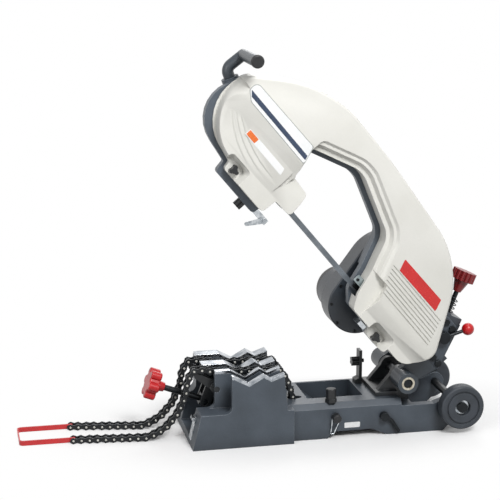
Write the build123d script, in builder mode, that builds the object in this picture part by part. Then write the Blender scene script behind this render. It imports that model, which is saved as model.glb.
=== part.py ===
from build123d import *
import os
from math import atan2, cos, degrees, hypot, pi, radians, sin, sqrt, tan

os.makedirs("parts", exist_ok=True)

# Pipe-cutting band saw: a bed with a twin chain vise and transport wheels, and a bow-shaped saw head
# that swings down on a pivot at the rear of the bed. It is drawn with the head raised.
# Millimetres, +Z up. The origin is on the floor under the deepest point of the pipe jaws, half way
# across the bed. +X runs from the vise to the transport wheels and -Y is the near side, with the cover.
# Places across the machine are given as "n", the distance from the middle towards the near side.

# Vise block
vise_width = 190.0
vise_front = 112.0
vise_back = 90.0
ledge_height = 70.0
ledge_lean = 17.0
jaw_height = 146.0
jaw_thickness = 6.0
jaw_v_half = 30.0
jaw_v_depth = 16.0
jaw_peak = 29.0
jaw_dip = 44.0
jaw_dip_depth = 9.0
jaw_end = 70.0
thin_jaw = 12.0
wide_jaw = 28.0
slot_width = 31.0
front_channel = 33.0
rear_channel = 41.0
channel_drop = 18.0
cavity_floor = 12.0
wall_corner = 14.0
jaw_screw_radius = 3.0
jaw_screw_head = 5.0
jaw_screw_depth = 16.0

# Bed
bed_width = 160.0
bed_height = 72.0
bed_chamfer = 10.0
bed_end = 314.0
rail_height = 58.0
rail_width = 18.0
rail_end = 402.0
rail_bridge = 26.0
arch_start = 160.0
arch_end = 287.0
arch_height = 14.0
well_start = 130.0
well_end = 245.0
well_near = 38.0
well_far = 65.0
well_depth = 44.0
keyhole_x = 104.0
keyhole_radius = 11.5
keyhole_depth = 26.0

# Transport wheels
axle_x = 431.0
axle_z = 56.0
axle_radius = 8.0
axle_boss = 20.0
wheel_radius = 44.5
wheel_width = 27.0
wheel_gap = 8.0
wheel_hub_recess = 16.0
wheel_dish = 3.0
running_gap = 0.05

# Head pivot
pivot_x = 322.0
pivot_z = 108.0
pivot_radius = 9.3
bush_wall = 4.0
boss_radius = 21.0
boss_outer = 95.0
ear_inner = 28.0
ear_outer = 41.0
ear_gap = 1.0
stand_plate = 8.0
head_tilt = 50.0

# Chains
chain_pitch = 15.875
chain_plate_height = 13.2
chain_plate = 2.2
chain_roller_width = 9.5
chain_roller_radius = 5.0
front_drift = 26.0
rear_drift = 42.0
chain_reach = 236.0
chain_handle_length = 104.0
chain_handle_strip = 2.5
chain_handle_height = 10.0

# Vise screw and hook lever
lever_x = -56.0
lever_z = 108.0
lever_pin_radius = 6.0
lever_hub = 11.0
arm_thickness = 8.0
hook_tip_x = -97.0
hook_tip_z = 135.0
vise_knob_x = -175.0
vise_knob_z = 108.0
vise_screw_tilt = 20.6
vise_screw_radius = 6.0
vise_screw_n = -12.0
vise_knob_radius = 32.0
vise_knob_width = 22.0
nut_size = 20.0
nut_width = 24.0
trunnion_radius = 5.0
cheek_thickness = 6.0

# Saw head, level-frame places from the pivot: u along the blade to the rear, v away from the work
idler_u = -583.0
drive_u = -155.0
band_wheel_radius = 78.0
band_wheel_width = 14.0
blade_v = 45.5
blade_width = 10.0
blade_thickness = 0.65
blade_gap = 0.3
housing_gap = 6.0
arch_radius = 163.0
arch_u = -393.0
arch_clear = 7.5
back_clear = 41.5
frame_plate = 8.0
frame_rim = 10.0
rim_wall = 5.0
frame_flange = 14.0
split_drop = 7.5
cover_depth = 52.0
cover_wall = 4.0
panel_depth = 8.0
cover_round = 5.0
spine_depth = 42.0
spine_width = 44.0
spine_wall = 7.0

# Drive
drive_shaft_radius = 9.0
bearing_boss = 28.0
motor_u = -158.0
motor_v = 29.5
case_radius = 60.0
case_wall = 4.0
case_front = 5.0
case_depth = 52.0
gear_teeth = 48
pinion_teeth = 12
gear_width = 18.0
gear_backlash = 0.42
motor_radius = 48.0
motor_length = 70.0
motor_cap = 22.0
armature_radius = 26.0
armature_shaft = 6.0

# Outline of the saw head
sole_drop = 32.0
box_drop = 10.5
tab_drop = 12.0
guard_reach = 37.0
end_shift = 27.0
end_drop = 13.5
rear_shift = 20.0
heel_reach = 67.0
heel_rise = 20.5
wheel_lip = 3.0
wheel_clearance = 1.5
slide_travel = 6.0
bevel_width = 28.0
bevel_drop = 22.0
room_depth = 26.0
groove_count = 7
groove_pitch = 10.0
groove_depth = 1.2
tab_depth = 14.0
knob_screw = 3.0
side_play = 0.3

# Handle, tension parts, pivot bracket, lock lever and feed screw of the head
handle_radius = 11.0
handle_rise = 19.0
handle_start = 56.0
handle_n = 28.0
handle_run = 42.0
handle_lift = 41.0
handle_grip = 127.0
tension_u = -492.0
tension_v = -13.0
tension_n = 32.0
tension_screw = 5.0
slide_half = 16.0
slide_thickness = 8.0
idler_axle = 8.0
bracket_thickness = 6.0
bracket_bolt = 4.0
bracket_holes = [(-24, 140), (-4, 140), (14, 74), (31, 74)]
lock_place = (-5.5, 116.0)
lock_stud = 5.0
lock_reach = 52.0
lock_angle = 67.0
ball_radius = 12.5
feed_u = -19.0
feed_v = 160.0
feed_n = 4.0
feed_lean = 27.4
feed_screw_radius = 5.0
feed_cone = 25.0
feed_cone_radius = 16.0
feed_cone_foot = 8.0
feed_knob_radius = 25.0
spring_length = 42.0
spring_radius = 9.5
spring_wire = 1.1
spring_pitch = 8.0
lug_drop = 11.0
latch_pin = 3.0
flange_thickness = 6.0
gland_radius = 9.0
upper_guide_u = -450.0
lower_guide_u = -219.0
guide_half = 7.0
guide_height = 17.0
pad_gap = 0.03


def near(n):
    """Upright plane at n, seen from the near side: sketch x is X, sketch y is Z."""
    return Plane.XZ.offset(n)


head_plane = Plane(
    origin=(pivot_x, 0, pivot_z),
    x_dir=(cos(radians(head_tilt)), 0, -sin(radians(head_tilt))),
    z_dir=(0, -1, 0),
)


def head(n):
    """Plane of the saw head at n: sketch x is u, sketch y is v."""
    return head_plane.offset(n)


def poly(plane, points, rounding=None):
    """Closed outline on a plane, its corners rounded when a radius is given."""
    with BuildSketch(plane) as face:
        with BuildLine():
            if rounding is None:
                Polyline(*points, close=True)
            else:
                FilletPolyline(*points, radius=rounding, close=True)
        make_face()
    return face.sketch


def disc(plane, radius, centre=(0, 0)):
    """Round face on a plane."""
    with BuildSketch(plane) as face:
        with Locations(centre):
            Circle(radius)
    return face.sketch


def ring(plane, outer, inner, centre=(0, 0)):
    """Ring-shaped face on a plane."""
    with BuildSketch(plane) as face:
        with Locations(centre):
            Circle(outer)
            Circle(inner, mode=Mode.SUBTRACT)
    return face.sketch


def block(plane, low, high):
    """Rectangle on a plane between two corners."""
    return poly(plane, [low, (high[0], low[1]), high, (low[0], high[1])])


def link(plane, centre_a, radius_a, centre_b, radius_b):
    """Outline round two circles."""
    with BuildSketch(plane) as face:
        with Locations(centre_a):
            Circle(radius_a)
        with Locations(centre_b):
            Circle(radius_b)
        make_hull()
    return face.sketch


def lobed(plane, radius, lobes, lobe_radius, centre=(0, 0)):
    """Star-knob outline of round lobes on a core."""
    with BuildSketch(plane) as face:
        with Locations(centre):
            Circle(radius - lobe_radius)
            with PolarLocations(radius - lobe_radius, lobes):
                Circle(lobe_radius)
    return face.sketch


def save(piece, name):
    """Label a finished piece and write it."""
    piece.part.label = name
    export_step(piece.part, f"parts/{name}.step")


# Places across the machine that follow from the vise walls
half_vise = vise_width / 2
half_bed = bed_width / 2
inner_n = half_vise - thin_jaw - slot_width
middle_n = inner_n - thin_jaw - front_channel
rear_n = middle_n - wide_jaw - rear_channel
blade_n = half_vise - thin_jaw - slot_width / 2
front_chain_n = inner_n - thin_jaw - front_channel / 2
rear_chain_n = middle_n - wide_jaw - rear_channel / 2
outer_left = -jaw_v_half - 4
inner_left = -jaw_v_half - 30
wide_left = -jaw_v_half - 48
cavity_end = -jaw_v_half - 10
channel_floor = jaw_height - channel_drop
wall_foot = jaw_end + 7
jaw_screw_x = -jaw_v_half - 17
jaws = [
    ("outer_jaw", half_vise, thin_jaw, outer_left),
    ("inner_jaw", inner_n, thin_jaw, inner_left),
    ("middle_jaw", middle_n, wide_jaw, wide_left),
    ("rear_jaw", rear_n, wide_jaw, wide_left),
]


def jaw_line(left, drop):
    """Zigzag of the jaw tops from the left end, lowered by a drop."""
    top = jaw_height - drop
    return [
        (left, top),
        (-jaw_v_half, top),
        (0, top - jaw_v_depth),
        (jaw_peak, top),
        (jaw_dip, top - jaw_dip_depth),
        (jaw_end, top),
    ]


def wall_face(plane, left, base):
    """Upright wall under a jaw, with a hollow corner where it rises from the ledge."""
    with BuildSketch(plane) as face:
        with BuildLine():
            top = Polyline(*jaw_line(left, jaw_thickness))
            Polyline(top @ 1, (wall_foot, base), (left - wall_corner, base))
            CenterArc((left - wall_corner, base + wall_corner), wall_corner, 270, 90)
            Line((left, base + wall_corner), top @ 0)
        make_face()
    return face.sketch


# Vise screw line: from the knob down into the vise block
screw_dir = (cos(radians(vise_screw_tilt)), 0, -sin(radians(vise_screw_tilt)))
screw_plane = Plane(origin=(vise_knob_x, -vise_screw_n, vise_knob_z), x_dir=(0, -1, 0), z_dir=screw_dir)
lever_arm = (lever_x - vise_knob_x) * sin(radians(vise_screw_tilt)) + (lever_z - vise_knob_z) * cos(
    radians(vise_screw_tilt)
)
nut_along = (lever_x - vise_knob_x) * cos(radians(vise_screw_tilt)) - (lever_z - vise_knob_z) * sin(
    radians(vise_screw_tilt)
)
screw_end = (cavity_end - vise_knob_x) / cos(radians(vise_screw_tilt)) + 14
nut_x = vise_knob_x + nut_along * screw_dir[0]
nut_z = vise_knob_z + nut_along * screw_dir[2]

# Bed casting: vise block, bed, rear rails
stand_x = pivot_x - 54
lock_pin_x = 176.6
lock_pin_z = 46.0
lock_pin_radius = 5.0
lock_pin_depth = 22.0
side_lever_x = 277.0
side_lever_z = 40.0
side_lever_shaft = 6.0
bumper_x = 171.0
bumper_stud = 4.0
with BuildPart() as bed:
    # foot of the vise block, its front end leaning in
    foot = [(-vise_front, 0), (vise_back, 0), (vise_back, ledge_height)]
    foot.append((-vise_front + ledge_lean, ledge_height))
    extrude(poly(near(half_vise), foot), amount=-vise_width)
    # core under the chain channels
    core = [(cavity_end, ledge_height / 2), (wall_foot, ledge_height / 2), (wall_foot, ledge_height)]
    core += [(jaw_end, channel_floor), (cavity_end, channel_floor)]
    extrude(poly(near(inner_n), core), amount=-inner_n - half_vise)
    # open cavity at the front end for the hook lever
    cavity = block(near(inner_n - thin_jaw), (-vise_front - 1, cavity_floor), (cavity_end, jaw_height))
    extrude(cavity, amount=rear_n - inner_n + thin_jaw, mode=Mode.SUBTRACT)
    # walls under the jaws
    extrude(wall_face(near(half_vise), outer_left, ledge_height), amount=-thin_jaw)
    extrude(wall_face(near(inner_n), inner_left, ledge_height), amount=-thin_jaw)
    extrude(wall_face(near(rear_n), wide_left, ledge_height), amount=-rear_n - half_vise)
    nose_base = channel_floor - 6
    nose = jaw_line(wide_left, jaw_thickness) + [(jaw_end, nose_base), (wide_left + 10, nose_base)]
    extrude(poly(near(middle_n), nose), amount=-wide_jaw)
    # bed with its two long top edges bevelled
    section = [(-half_bed, 0), (half_bed, 0), (half_bed, bed_height - bed_chamfer)]
    section += [(half_bed - bed_chamfer, bed_height), (bed_chamfer - half_bed, bed_height)]
    section.append((-half_bed, bed_height - bed_chamfer))
    extrude(poly(Plane.YZ.offset(wall_foot), section), amount=bed_end - wall_foot)
    # low bridge and the two rails out to the axle
    bridge = block(near(half_bed), (bed_end - 1, 0), (bed_end + rail_bridge, rail_height))
    extrude(bridge, amount=-bed_width)
    slant = axle_boss * cos(radians(45))
    rail = [(bed_end, 0), (rail_end, 0), (axle_x + slant, axle_z - slant)]
    rail += [(axle_x - slant, axle_z + slant), (rail_end - 20, rail_height), (bed_end, rail_height)]
    for rail_n in (half_bed, rail_width - half_bed):
        extrude(poly(near(rail_n), rail), amount=-rail_width)
        extrude(disc(near(rail_n), axle_boss, (axle_x, axle_z)), amount=-rail_width)
    # hollow arch under the bed
    arch = [(arch_start, -1), (arch_start + 16, arch_height), (arch_end - 34, arch_height), (arch_end, -1)]
    extrude(poly(near(half_bed), arch), amount=-bed_width, mode=Mode.SUBTRACT)
    # well for the gear case, its floor sloping down to the rear
    well = [(well_start, bed_height), (well_start, bed_height - 8), (well_start + 50, bed_height - well_depth)]
    well += [(well_end, bed_height - well_depth), (well_end, bed_height)]
    extrude(poly(near(well_near), well), amount=-well_near - well_far, mode=Mode.SUBTRACT)
    # keyholes that hold the chain ends
    for chain_n in (front_chain_n, rear_chain_n):
        top = Plane.XY.offset(bed_height)
        keyhole = link(top, (keyhole_x, -chain_n), keyhole_radius, (keyhole_x + 12, -chain_n), keyhole_radius / 2)
        extrude(keyhole, amount=-keyhole_depth, mode=Mode.SUBTRACT)
    # bores for the axle, the lever pin, the vise screw seat, the lock pin, the side lever and the bumper stud
    extrude(disc(near(half_bed), axle_radius, (axle_x, axle_z)), amount=-bed_width, mode=Mode.SUBTRACT)
    lever_bore = disc(near(inner_n), lever_pin_radius + running_gap, (lever_x, lever_z))
    extrude(lever_bore, amount=rear_n - inner_n - thin_jaw, mode=Mode.SUBTRACT)
    extrude(disc(screw_plane, vise_screw_radius + running_gap), amount=screw_end + 1, mode=Mode.SUBTRACT)
    lock_bore = disc(near(half_bed), lock_pin_radius + running_gap, (lock_pin_x, lock_pin_z))
    extrude(lock_bore, amount=-lock_pin_depth, mode=Mode.SUBTRACT)
    side_bore = disc(near(half_bed), side_lever_shaft + running_gap, (side_lever_x, side_lever_z))
    extrude(side_bore, amount=-lock_pin_depth, mode=Mode.SUBTRACT)
    stud_bore = disc(Plane.XY.offset(bed_height), bumper_stud, (bumper_x, -blade_n))
    extrude(stud_bore, amount=-bumper_stud * 3, mode=Mode.SUBTRACT)
    # seats of the jaws, and the holes of their screws
    for jaw_name, jaw_n, jaw_width, left in jaws[1:]:
        seat = jaw_line(left, jaw_thickness) + [(jaw_end, jaw_height), (left, jaw_height)]
        extrude(poly(near(jaw_n), seat), amount=-jaw_width, mode=Mode.SUBTRACT)
        jaw_bore = Plane.XY.offset(jaw_height)
        centre = (jaw_screw_x, jaw_width / 2 - jaw_n)
        extrude(disc(jaw_bore, jaw_screw_radius, centre), amount=-jaw_screw_depth, mode=Mode.SUBTRACT)
save(bed, "bed")

# Four zigzag jaws on top of the walls
for jaw_name, jaw_n, jaw_width, left in jaws:
    with BuildPart() as jaw:
        outline = jaw_line(left, 0) + jaw_line(left, jaw_thickness)[::-1]
        extrude(poly(near(jaw_n), outline), amount=-jaw_width)
        if jaw_name != "outer_jaw":
            place = Plane(origin=(jaw_screw_x, jaw_width / 2 - jaw_n, jaw_height))
            extrude(disc(place, jaw_screw_radius), amount=-jaw_thickness, mode=Mode.SUBTRACT)
            extrude(disc(place, jaw_screw_head), amount=-jaw_thickness / 2, mode=Mode.SUBTRACT)
    save(jaw, jaw_name)

# Sunk screws that hold the three long jaws
with BuildPart() as jaw_screws:
    for jaw_name, jaw_n, jaw_width, left in jaws[1:]:
        place = Plane(origin=(jaw_screw_x, jaw_width / 2 - jaw_n, jaw_height))
        extrude(disc(place, jaw_screw_head), amount=-jaw_thickness / 2)
        extrude(disc(place, jaw_screw_radius), amount=-jaw_screw_depth)
save(jaw_screws, "jaw_screws")

# Chain route in the upright plane of the chain, from the keyhole over the jaws and the hook to the floor
half_plate = chain_plate_height / 2
lie = channel_floor + half_plate + 0.3
hang = hook_tip_z + half_plate + 1
floor_end = -vise_front - chain_reach
route = [
    (keyhole_x + 2, bed_height - 12),
    (keyhole_x - 8, bed_height + 26),
    (jaw_end + 18, lie - 18),
    (jaw_end + 4, lie + 1),
    (jaw_end - 20, lie),
    (cavity_end - 4, lie),
    (hook_tip_x + 12, hang),
    (hook_tip_x - 4, hang - 2),
    (hook_tip_x - 14, hook_tip_z - 18),
    (hook_tip_x - 17, hook_tip_z - 45),
    (hook_tip_x - 34, hook_tip_z - 82),
    (hook_tip_x - 58, hook_tip_z - 111),
    (hook_tip_x - 90, half_plate),
    (floor_end, half_plate),
]


def chain_pins(chain_n, drift):
    """Pin centres one pitch apart along the route, drifting sideways past the hook."""
    slope = drift / (hook_tip_x - floor_end)
    corners = [Vector(x, -chain_n + slope * max(0, hook_tip_x - x), z) for x, z in route]
    pins = [corners[0]]
    for start, end in zip(corners, corners[1:]):
        run = end - start
        while (end - pins[-1]).length >= chain_pitch:
            back = start - pins[-1]
            along = back.dot(run) / run.length
            reach = sqrt(along**2 - back.dot(back) + chain_pitch**2) - along
            pins.append(start + run * (reach / run.length))
    # an even count of links, so that a chain starts with an inner link and ends with an outer one
    return pins[: len(pins) - (len(pins) + 1) % 2]


def link_plane(start, end):
    """Plane of one link: x along the link, normal across the chain."""
    along = (end - start).normalized()
    across = Vector(0, -1, 0)
    return Plane(origin=start, x_dir=along, z_dir=across - along * across.dot(along))


plate_end = chain_plate_height * 0.42
plate_half = [(-plate_end, half_plate / 2), (0, half_plate), (chain_pitch / 2, half_plate * 0.6)]
plate_half += [(chain_pitch, half_plate), (chain_pitch + plate_end, half_plate / 2)]
plate_outline = plate_half + [(x, -z) for x, z in plate_half[::-1]]
inner_plate = chain_roller_width / 2
outer_plate = inner_plate + chain_plate
with BuildPart() as inner_link:
    for side in (inner_plate, -outer_plate):
        extrude(poly(Plane.XY.offset(side), plate_outline), amount=chain_plate)
    for roller_x in (0, chain_pitch):
        with BuildSketch(Plane.XY.offset(-inner_plate)):
            with Locations((roller_x, 0)):
                RegularPolygon(chain_roller_radius, 6)
        extrude(amount=chain_roller_width)
with BuildPart() as outer_link:
    for side in (outer_plate, -outer_plate - chain_plate):
        extrude(poly(Plane.XY.offset(side), plate_outline), amount=chain_plate)
chain_ends = []
for name, chain_n, drift in (("front_chain", front_chain_n, front_drift), ("rear_chain", rear_chain_n, rear_drift)):
    pins = chain_pins(chain_n, drift)
    chain_ends.append(link_plane(pins[-1], pins[-1] * 2 - pins[-2]))
    links = []
    for index in range(len(pins) - 1):
        style = outer_link if index % 2 else inner_link
        links.append(link_plane(pins[index], pins[index + 1]).location * style.part)
    chain = Compound(label=name, children=links)
    export_step(chain, f"parts/{name}.step")
    print(name, len(links), "links")

# Red strip handle that joins the two chain ends, held by a cross pin in each last link
front_end, rear_end = [end.origin for end in chain_ends]
handle_end = front_end.X - chain_handle_length
with BuildPart() as chain_handle:
    with BuildSketch(Plane.XY.offset(half_plate - chain_handle_height / 2)):
        with BuildLine():
            FilletPolyline(
                (front_end.X + 4, front_end.Y),
                (handle_end, front_end.Y),
                (handle_end, rear_end.Y),
                (rear_end.X + 4, rear_end.Y),
                radius=8,
            )
        trace(line_width=chain_handle_strip)
    extrude(amount=chain_handle_height)
    for end in chain_ends:
        extrude(disc(end.offset(outer_plate), chain_roller_radius * 0.7), amount=-2 * outer_plate)
save(chain_handle, "chain_handle")

# Zinc catch for the head latch, on the leaning front end of the vise block
lean = atan2(ledge_lean, ledge_height)
front_face = Plane(origin=(-vise_front, 0, 0), x_dir=(0, -1, 0), z_dir=(-cos(lean), 0, sin(lean)))
catch_width = 20.0
catch_thickness = 3.0
with BuildPart() as catch_plate:
    extrude(block(front_face, (46, 12), (46 + catch_width, 60)), amount=catch_thickness)
    extrude(block(front_face.offset(catch_thickness), (46, 52), (46 + catch_width, 58)), amount=2 * catch_thickness)
save(catch_plate, "catch_plate")

# Axle with a head at each end, its wheels, and the spacers and washers beside them
wheel_inner = half_bed + wheel_gap
wheel_outer = wheel_inner + wheel_width
recess_depth = 11.0
washer = 2.0
recess_n = wheel_outer - recess_depth
axle_centre = (axle_x, axle_z)
with BuildPart() as axle:
    extrude(disc(near(recess_n + washer + side_play), axle_radius, axle_centre), amount=-2 * (recess_n + washer + side_play))
    for end_n in (wheel_outer - 2, -recess_n - washer - side_play):
        head_length = recess_depth - 2 - washer - side_play
        extrude(disc(near(end_n), axle_radius + 2.5, axle_centre), amount=-head_length)
save(axle, "axle")

for name, outer_n in (("near_wheel", wheel_outer), ("far_wheel", -wheel_inner)):
    with BuildPart() as wheel:
        extrude(disc(near(outer_n), wheel_radius, axle_centre), amount=-wheel_width)
        fillet(wheel.edges().filter_by(GeomType.CIRCLE), 4)
        outward = near(outer_n) if outer_n > 0 else near(outer_n - wheel_width)
        toward = -1 if outer_n > 0 else 1
        extrude(ring(outward, wheel_radius - 10, wheel_radius - 14, axle_centre), amount=toward * wheel_dish, mode=Mode.SUBTRACT)
        extrude(disc(outward, wheel_hub_recess, axle_centre), amount=toward * recess_depth, mode=Mode.SUBTRACT)
        extrude(disc(outward, axle_radius + running_gap, axle_centre), amount=toward * wheel_width, mode=Mode.SUBTRACT)
    save(wheel, name)

with BuildPart() as wheel_washers:
    for start_n in (recess_n + washer + side_play, -recess_n - side_play):
        extrude(ring(near(start_n), wheel_hub_recess - 1, axle_radius, axle_centre), amount=-washer)
    for start_n in (wheel_inner - side_play, -half_bed):
        extrude(ring(near(start_n), axle_boss - 5, axle_radius, axle_centre), amount=side_play - wheel_gap)
save(wheel_washers, "wheel_washers")

# Stand with two ears for the head pivot
ear_radius = 20.0
pivot = (pivot_x, pivot_z)
with BuildPart() as pivot_stand:
    foot_plate = block(Plane.XY.offset(bed_height), (stand_x, -ear_outer - 12), (bed_end, ear_outer + 12))
    extrude(foot_plate, amount=stand_plate)
    ear = [(stand_x, bed_height), (bed_end, bed_height), (bed_end, rail_height)]
    ear += [(bed_end + rail_bridge, rail_height), (pivot_x + ear_radius * 0.9, pivot_z)]
    ear.append((pivot_x - ear_radius * 0.9, pivot_z + ear_radius * 0.3))
    for ear_n in (ear_outer, -ear_inner):
        extrude(poly(near(ear_n), ear), amount=ear_inner - ear_outer)
        extrude(disc(near(ear_n), ear_radius, pivot), amount=ear_inner - ear_outer)
    extrude(disc(near(ear_outer), pivot_radius, pivot), amount=-2 * ear_outer, mode=Mode.SUBTRACT)
save(pivot_stand, "pivot_stand")

with BuildPart() as pivot_shaft:
    extrude(disc(near(boss_outer - 3), pivot_radius, pivot), amount=6 - 2 * boss_outer)
    chamfer(pivot_shaft.edges().filter_by(GeomType.CIRCLE), 1.5)
save(pivot_shaft, "pivot_shaft")

# Rubber bumper on a hexagon nut and stud, where the lowered head lands
bumper_radius = 10.0
bumper_top = 100.0
bumper_nut_height = 8.0
with BuildPart() as bumper_nut:
    with BuildSketch(Plane(origin=(bumper_x, -blade_n, bed_height))):
        RegularPolygon(bumper_radius + 2, 6)
    extrude(amount=bumper_nut_height)
    extrude(disc(Plane(origin=(bumper_x, -blade_n, bed_height)), bumper_stud), amount=-bumper_stud * 3)
save(bumper_nut, "bumper_nut")

with BuildPart() as bumper:
    base = Plane(origin=(bumper_x, -blade_n, bed_height + bumper_nut_height))
    extrude(disc(base, bumper_radius), amount=bumper_top - bed_height - bumper_nut_height)
    fillet(bumper.edges().sort_by(Axis.Z)[-1], 2)
save(bumper, "bumper")

# Spring plunger on the near side of the bed, with a wire bail hanging on its neck
plunger_knob = 8.5
plunger_neck = 4.4
plunger_length = 16.0
lock_pin_centre = (lock_pin_x, lock_pin_z)
with BuildPart() as lock_pin:
    knob_n = half_bed + plunger_neck
    extrude(disc(near(knob_n), lock_pin_radius, lock_pin_centre), amount=1 - lock_pin_depth - plunger_neck)
    extrude(disc(near(knob_n), plunger_knob, lock_pin_centre), amount=plunger_length)
    fillet(lock_pin.edges().sort_by(Axis.Y)[0], 2)
save(lock_pin, "lock_pin")

wire = 1.2
bail_n = half_bed + plunger_neck / 2
bail_loop = lock_pin_radius + wire + 0.5
bail_drop = 36.0
bail_shift = 6.0
with BuildPart() as pin_bail:
    with BuildLine(near(bail_n)) as bail_path:
        low_left = (lock_pin_x - bail_shift - 3, lock_pin_z - bail_drop)
        low_right = (lock_pin_x - bail_shift + 3, lock_pin_z - bail_drop)
        left_top = (lock_pin_x - bail_loop, lock_pin_z)
        right_top = (lock_pin_x + bail_loop, lock_pin_z)
        over = ThreePointArc(left_top, (lock_pin_x, lock_pin_z + bail_loop), right_top)
        knee_right = (lock_pin_x + bail_loop, lock_pin_z - bail_drop * 0.4)
        knee_left = (lock_pin_x - bail_loop, lock_pin_z - bail_drop * 0.4)
        FilletPolyline(right_top, knee_right, low_right, low_left, radius=2.5)
        FilletPolyline(left_top, knee_left, (low_left[0], low_left[1] + 2 * wire + 1), radius=2.5)
    with BuildSketch(Plane(origin=bail_path.wire() @ 0, z_dir=bail_path.wire() % 0)):
        Circle(wire)
    sweep(path=bail_path.wire())
save(pin_bail, "pin_bail")

# Bent lever on the near side of the bed
lever_rod = 3.6
with BuildPart() as side_lever:
    centre = (side_lever_x, side_lever_z)
    extrude(disc(near(half_bed), side_lever_shaft, centre), amount=1 - lock_pin_depth)
    extrude(disc(near(half_bed + side_play), 9, centre), amount=11)
    extrude(disc(near(half_bed + side_play), side_lever_shaft, centre), amount=-side_play)
    rod_n = half_bed + side_play + 6
    with BuildLine(near(rod_n)) as rod_path:
        FilletPolyline(centre, (side_lever_x + 15, side_lever_z - 9), (side_lever_x + 30, side_lever_z - 33), radius=8)
    with BuildSketch(Plane(origin=rod_path.wire() @ 0, z_dir=rod_path.wire() % 0)):
        Circle(lever_rod)
    sweep(path=rod_path.wire())
save(side_lever, "side_lever")

# Upright stop plate on the bed with its thumb screw
stop_x = 258.0
stop_thickness = 6.0
stop_near = -34.0
stop_width = 22.0
stop_height = 70.0
stop_screw = 4.0
stop_screw_z = 118.0
stop_axis = Plane(origin=(stop_x, stop_width / 2 - stop_near, stop_screw_z), x_dir=(0, -1, 0), z_dir=(-1, 0, 0))
with BuildPart() as stop_plate:
    lean_in = [(stop_x, bed_height), (stop_x + stop_thickness, bed_height)]
    lean_in += [(stop_x + stop_thickness, bed_height + stop_height), (stop_x, bed_height + stop_height)]
    extrude(poly(near(stop_near), lean_in), amount=-stop_width)
    foot_block = [(stop_x - 8, bed_height), (stop_x + 6, bed_height), (stop_x + 6, bed_height + 14)]
    extrude(poly(near(stop_near), foot_block + [(stop_x - 8, bed_height + 8)]), amount=-stop_width)
    extrude(disc(stop_axis, stop_screw + running_gap), amount=-stop_thickness, mode=Mode.SUBTRACT)
save(stop_plate, "stop_plate")

with BuildPart() as stop_knob:
    extrude(disc(stop_axis.offset(-stop_thickness - 6), stop_screw), amount=stop_thickness + 8)
    extrude(lobed(stop_axis.offset(side_play), 10, 5, 3.5), amount=14)
save(stop_knob, "stop_knob")

# Hook lever: two arms that hold the chains, and a fork for the screw nut
hub_near = inner_n - thin_jaw - 1
hub_far = rear_n + 1
nut_reach = (nut_x - lever_x, nut_z - lever_z)
outward = (nut_reach[0] / hypot(*nut_reach), nut_reach[1] / hypot(*nut_reach))
fork_n = nut_width / 2 + 1
with BuildPart() as hook_lever:
    extrude(disc(near(hub_near), lever_hub, (lever_x, lever_z)), amount=hub_far - hub_near)
    extrude(disc(near(inner_n - 1), lever_pin_radius, (lever_x, lever_z)), amount=rear_n - inner_n - thin_jaw + 2)
    arm = [(lever_x + 4, lever_z + lever_hub - 1), (hook_tip_x + 6, hook_tip_z), (hook_tip_x, hook_tip_z - 2)]
    arm += [(hook_tip_x + 1, hook_tip_z - 9), (lever_x - 6, lever_z - lever_hub + 2)]
    for chain_n in (front_chain_n, rear_chain_n):
        extrude(poly(near(chain_n + arm_thickness / 2), arm), amount=-arm_thickness)
    for cheek_n in (vise_screw_n + fork_n + cheek_thickness, vise_screw_n - fork_n):
        cheek = link(near(cheek_n), (lever_x, lever_z), lever_hub, (nut_x, nut_z), trunnion_radius + 6)
        extrude(cheek, amount=-cheek_thickness)
        slot_in = (nut_x - 0.6 * outward[0], nut_z - 0.6 * outward[1])
        slot_out = (nut_x + 1.8 * outward[0], nut_z + 1.8 * outward[1])
        slot = link(near(cheek_n), slot_in, trunnion_radius + side_play, slot_out, trunnion_radius + side_play)
        extrude(slot, amount=-cheek_thickness, mode=Mode.SUBTRACT)
save(hook_lever, "hook_lever")

with BuildPart() as vise_nut:
    corner = (nut_width / 2, nut_size / 2)
    extrude(block(screw_plane.offset(nut_along - nut_size / 2), (-corner[0], -corner[1]), corner), amount=nut_size)
    trunnion = disc(near(vise_screw_n + fork_n + cheek_thickness), trunnion_radius, (nut_x, nut_z))
    extrude(trunnion, amount=-2 * (fork_n + cheek_thickness))
    bore = disc(screw_plane.offset(nut_along - nut_size), vise_screw_radius + running_gap)
    extrude(bore, amount=2 * nut_size, mode=Mode.SUBTRACT)
save(vise_nut, "vise_nut")

with BuildPart() as vise_screw:
    extrude(disc(screw_plane, vise_screw_radius), amount=screw_end)
save(vise_screw, "vise_screw")

knob_collar = 14.0
with BuildPart() as vise_knob:
    extrude(lobed(screw_plane.offset(-vise_knob_width / 2), vise_knob_radius, 6, 9), amount=vise_knob_width)
    fillet(vise_knob.faces().sort_by(SortBy.AREA)[-2:].edges(), 3)
    collar = disc(screw_plane.offset(vise_knob_width / 2), vise_screw_radius + 5)
    extrude(collar, amount=knob_collar, taper=8)
    extrude(disc(screw_plane, vise_screw_radius), amount=vise_knob_width + knob_collar, mode=Mode.SUBTRACT)
save(vise_knob, "vise_knob")

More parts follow.
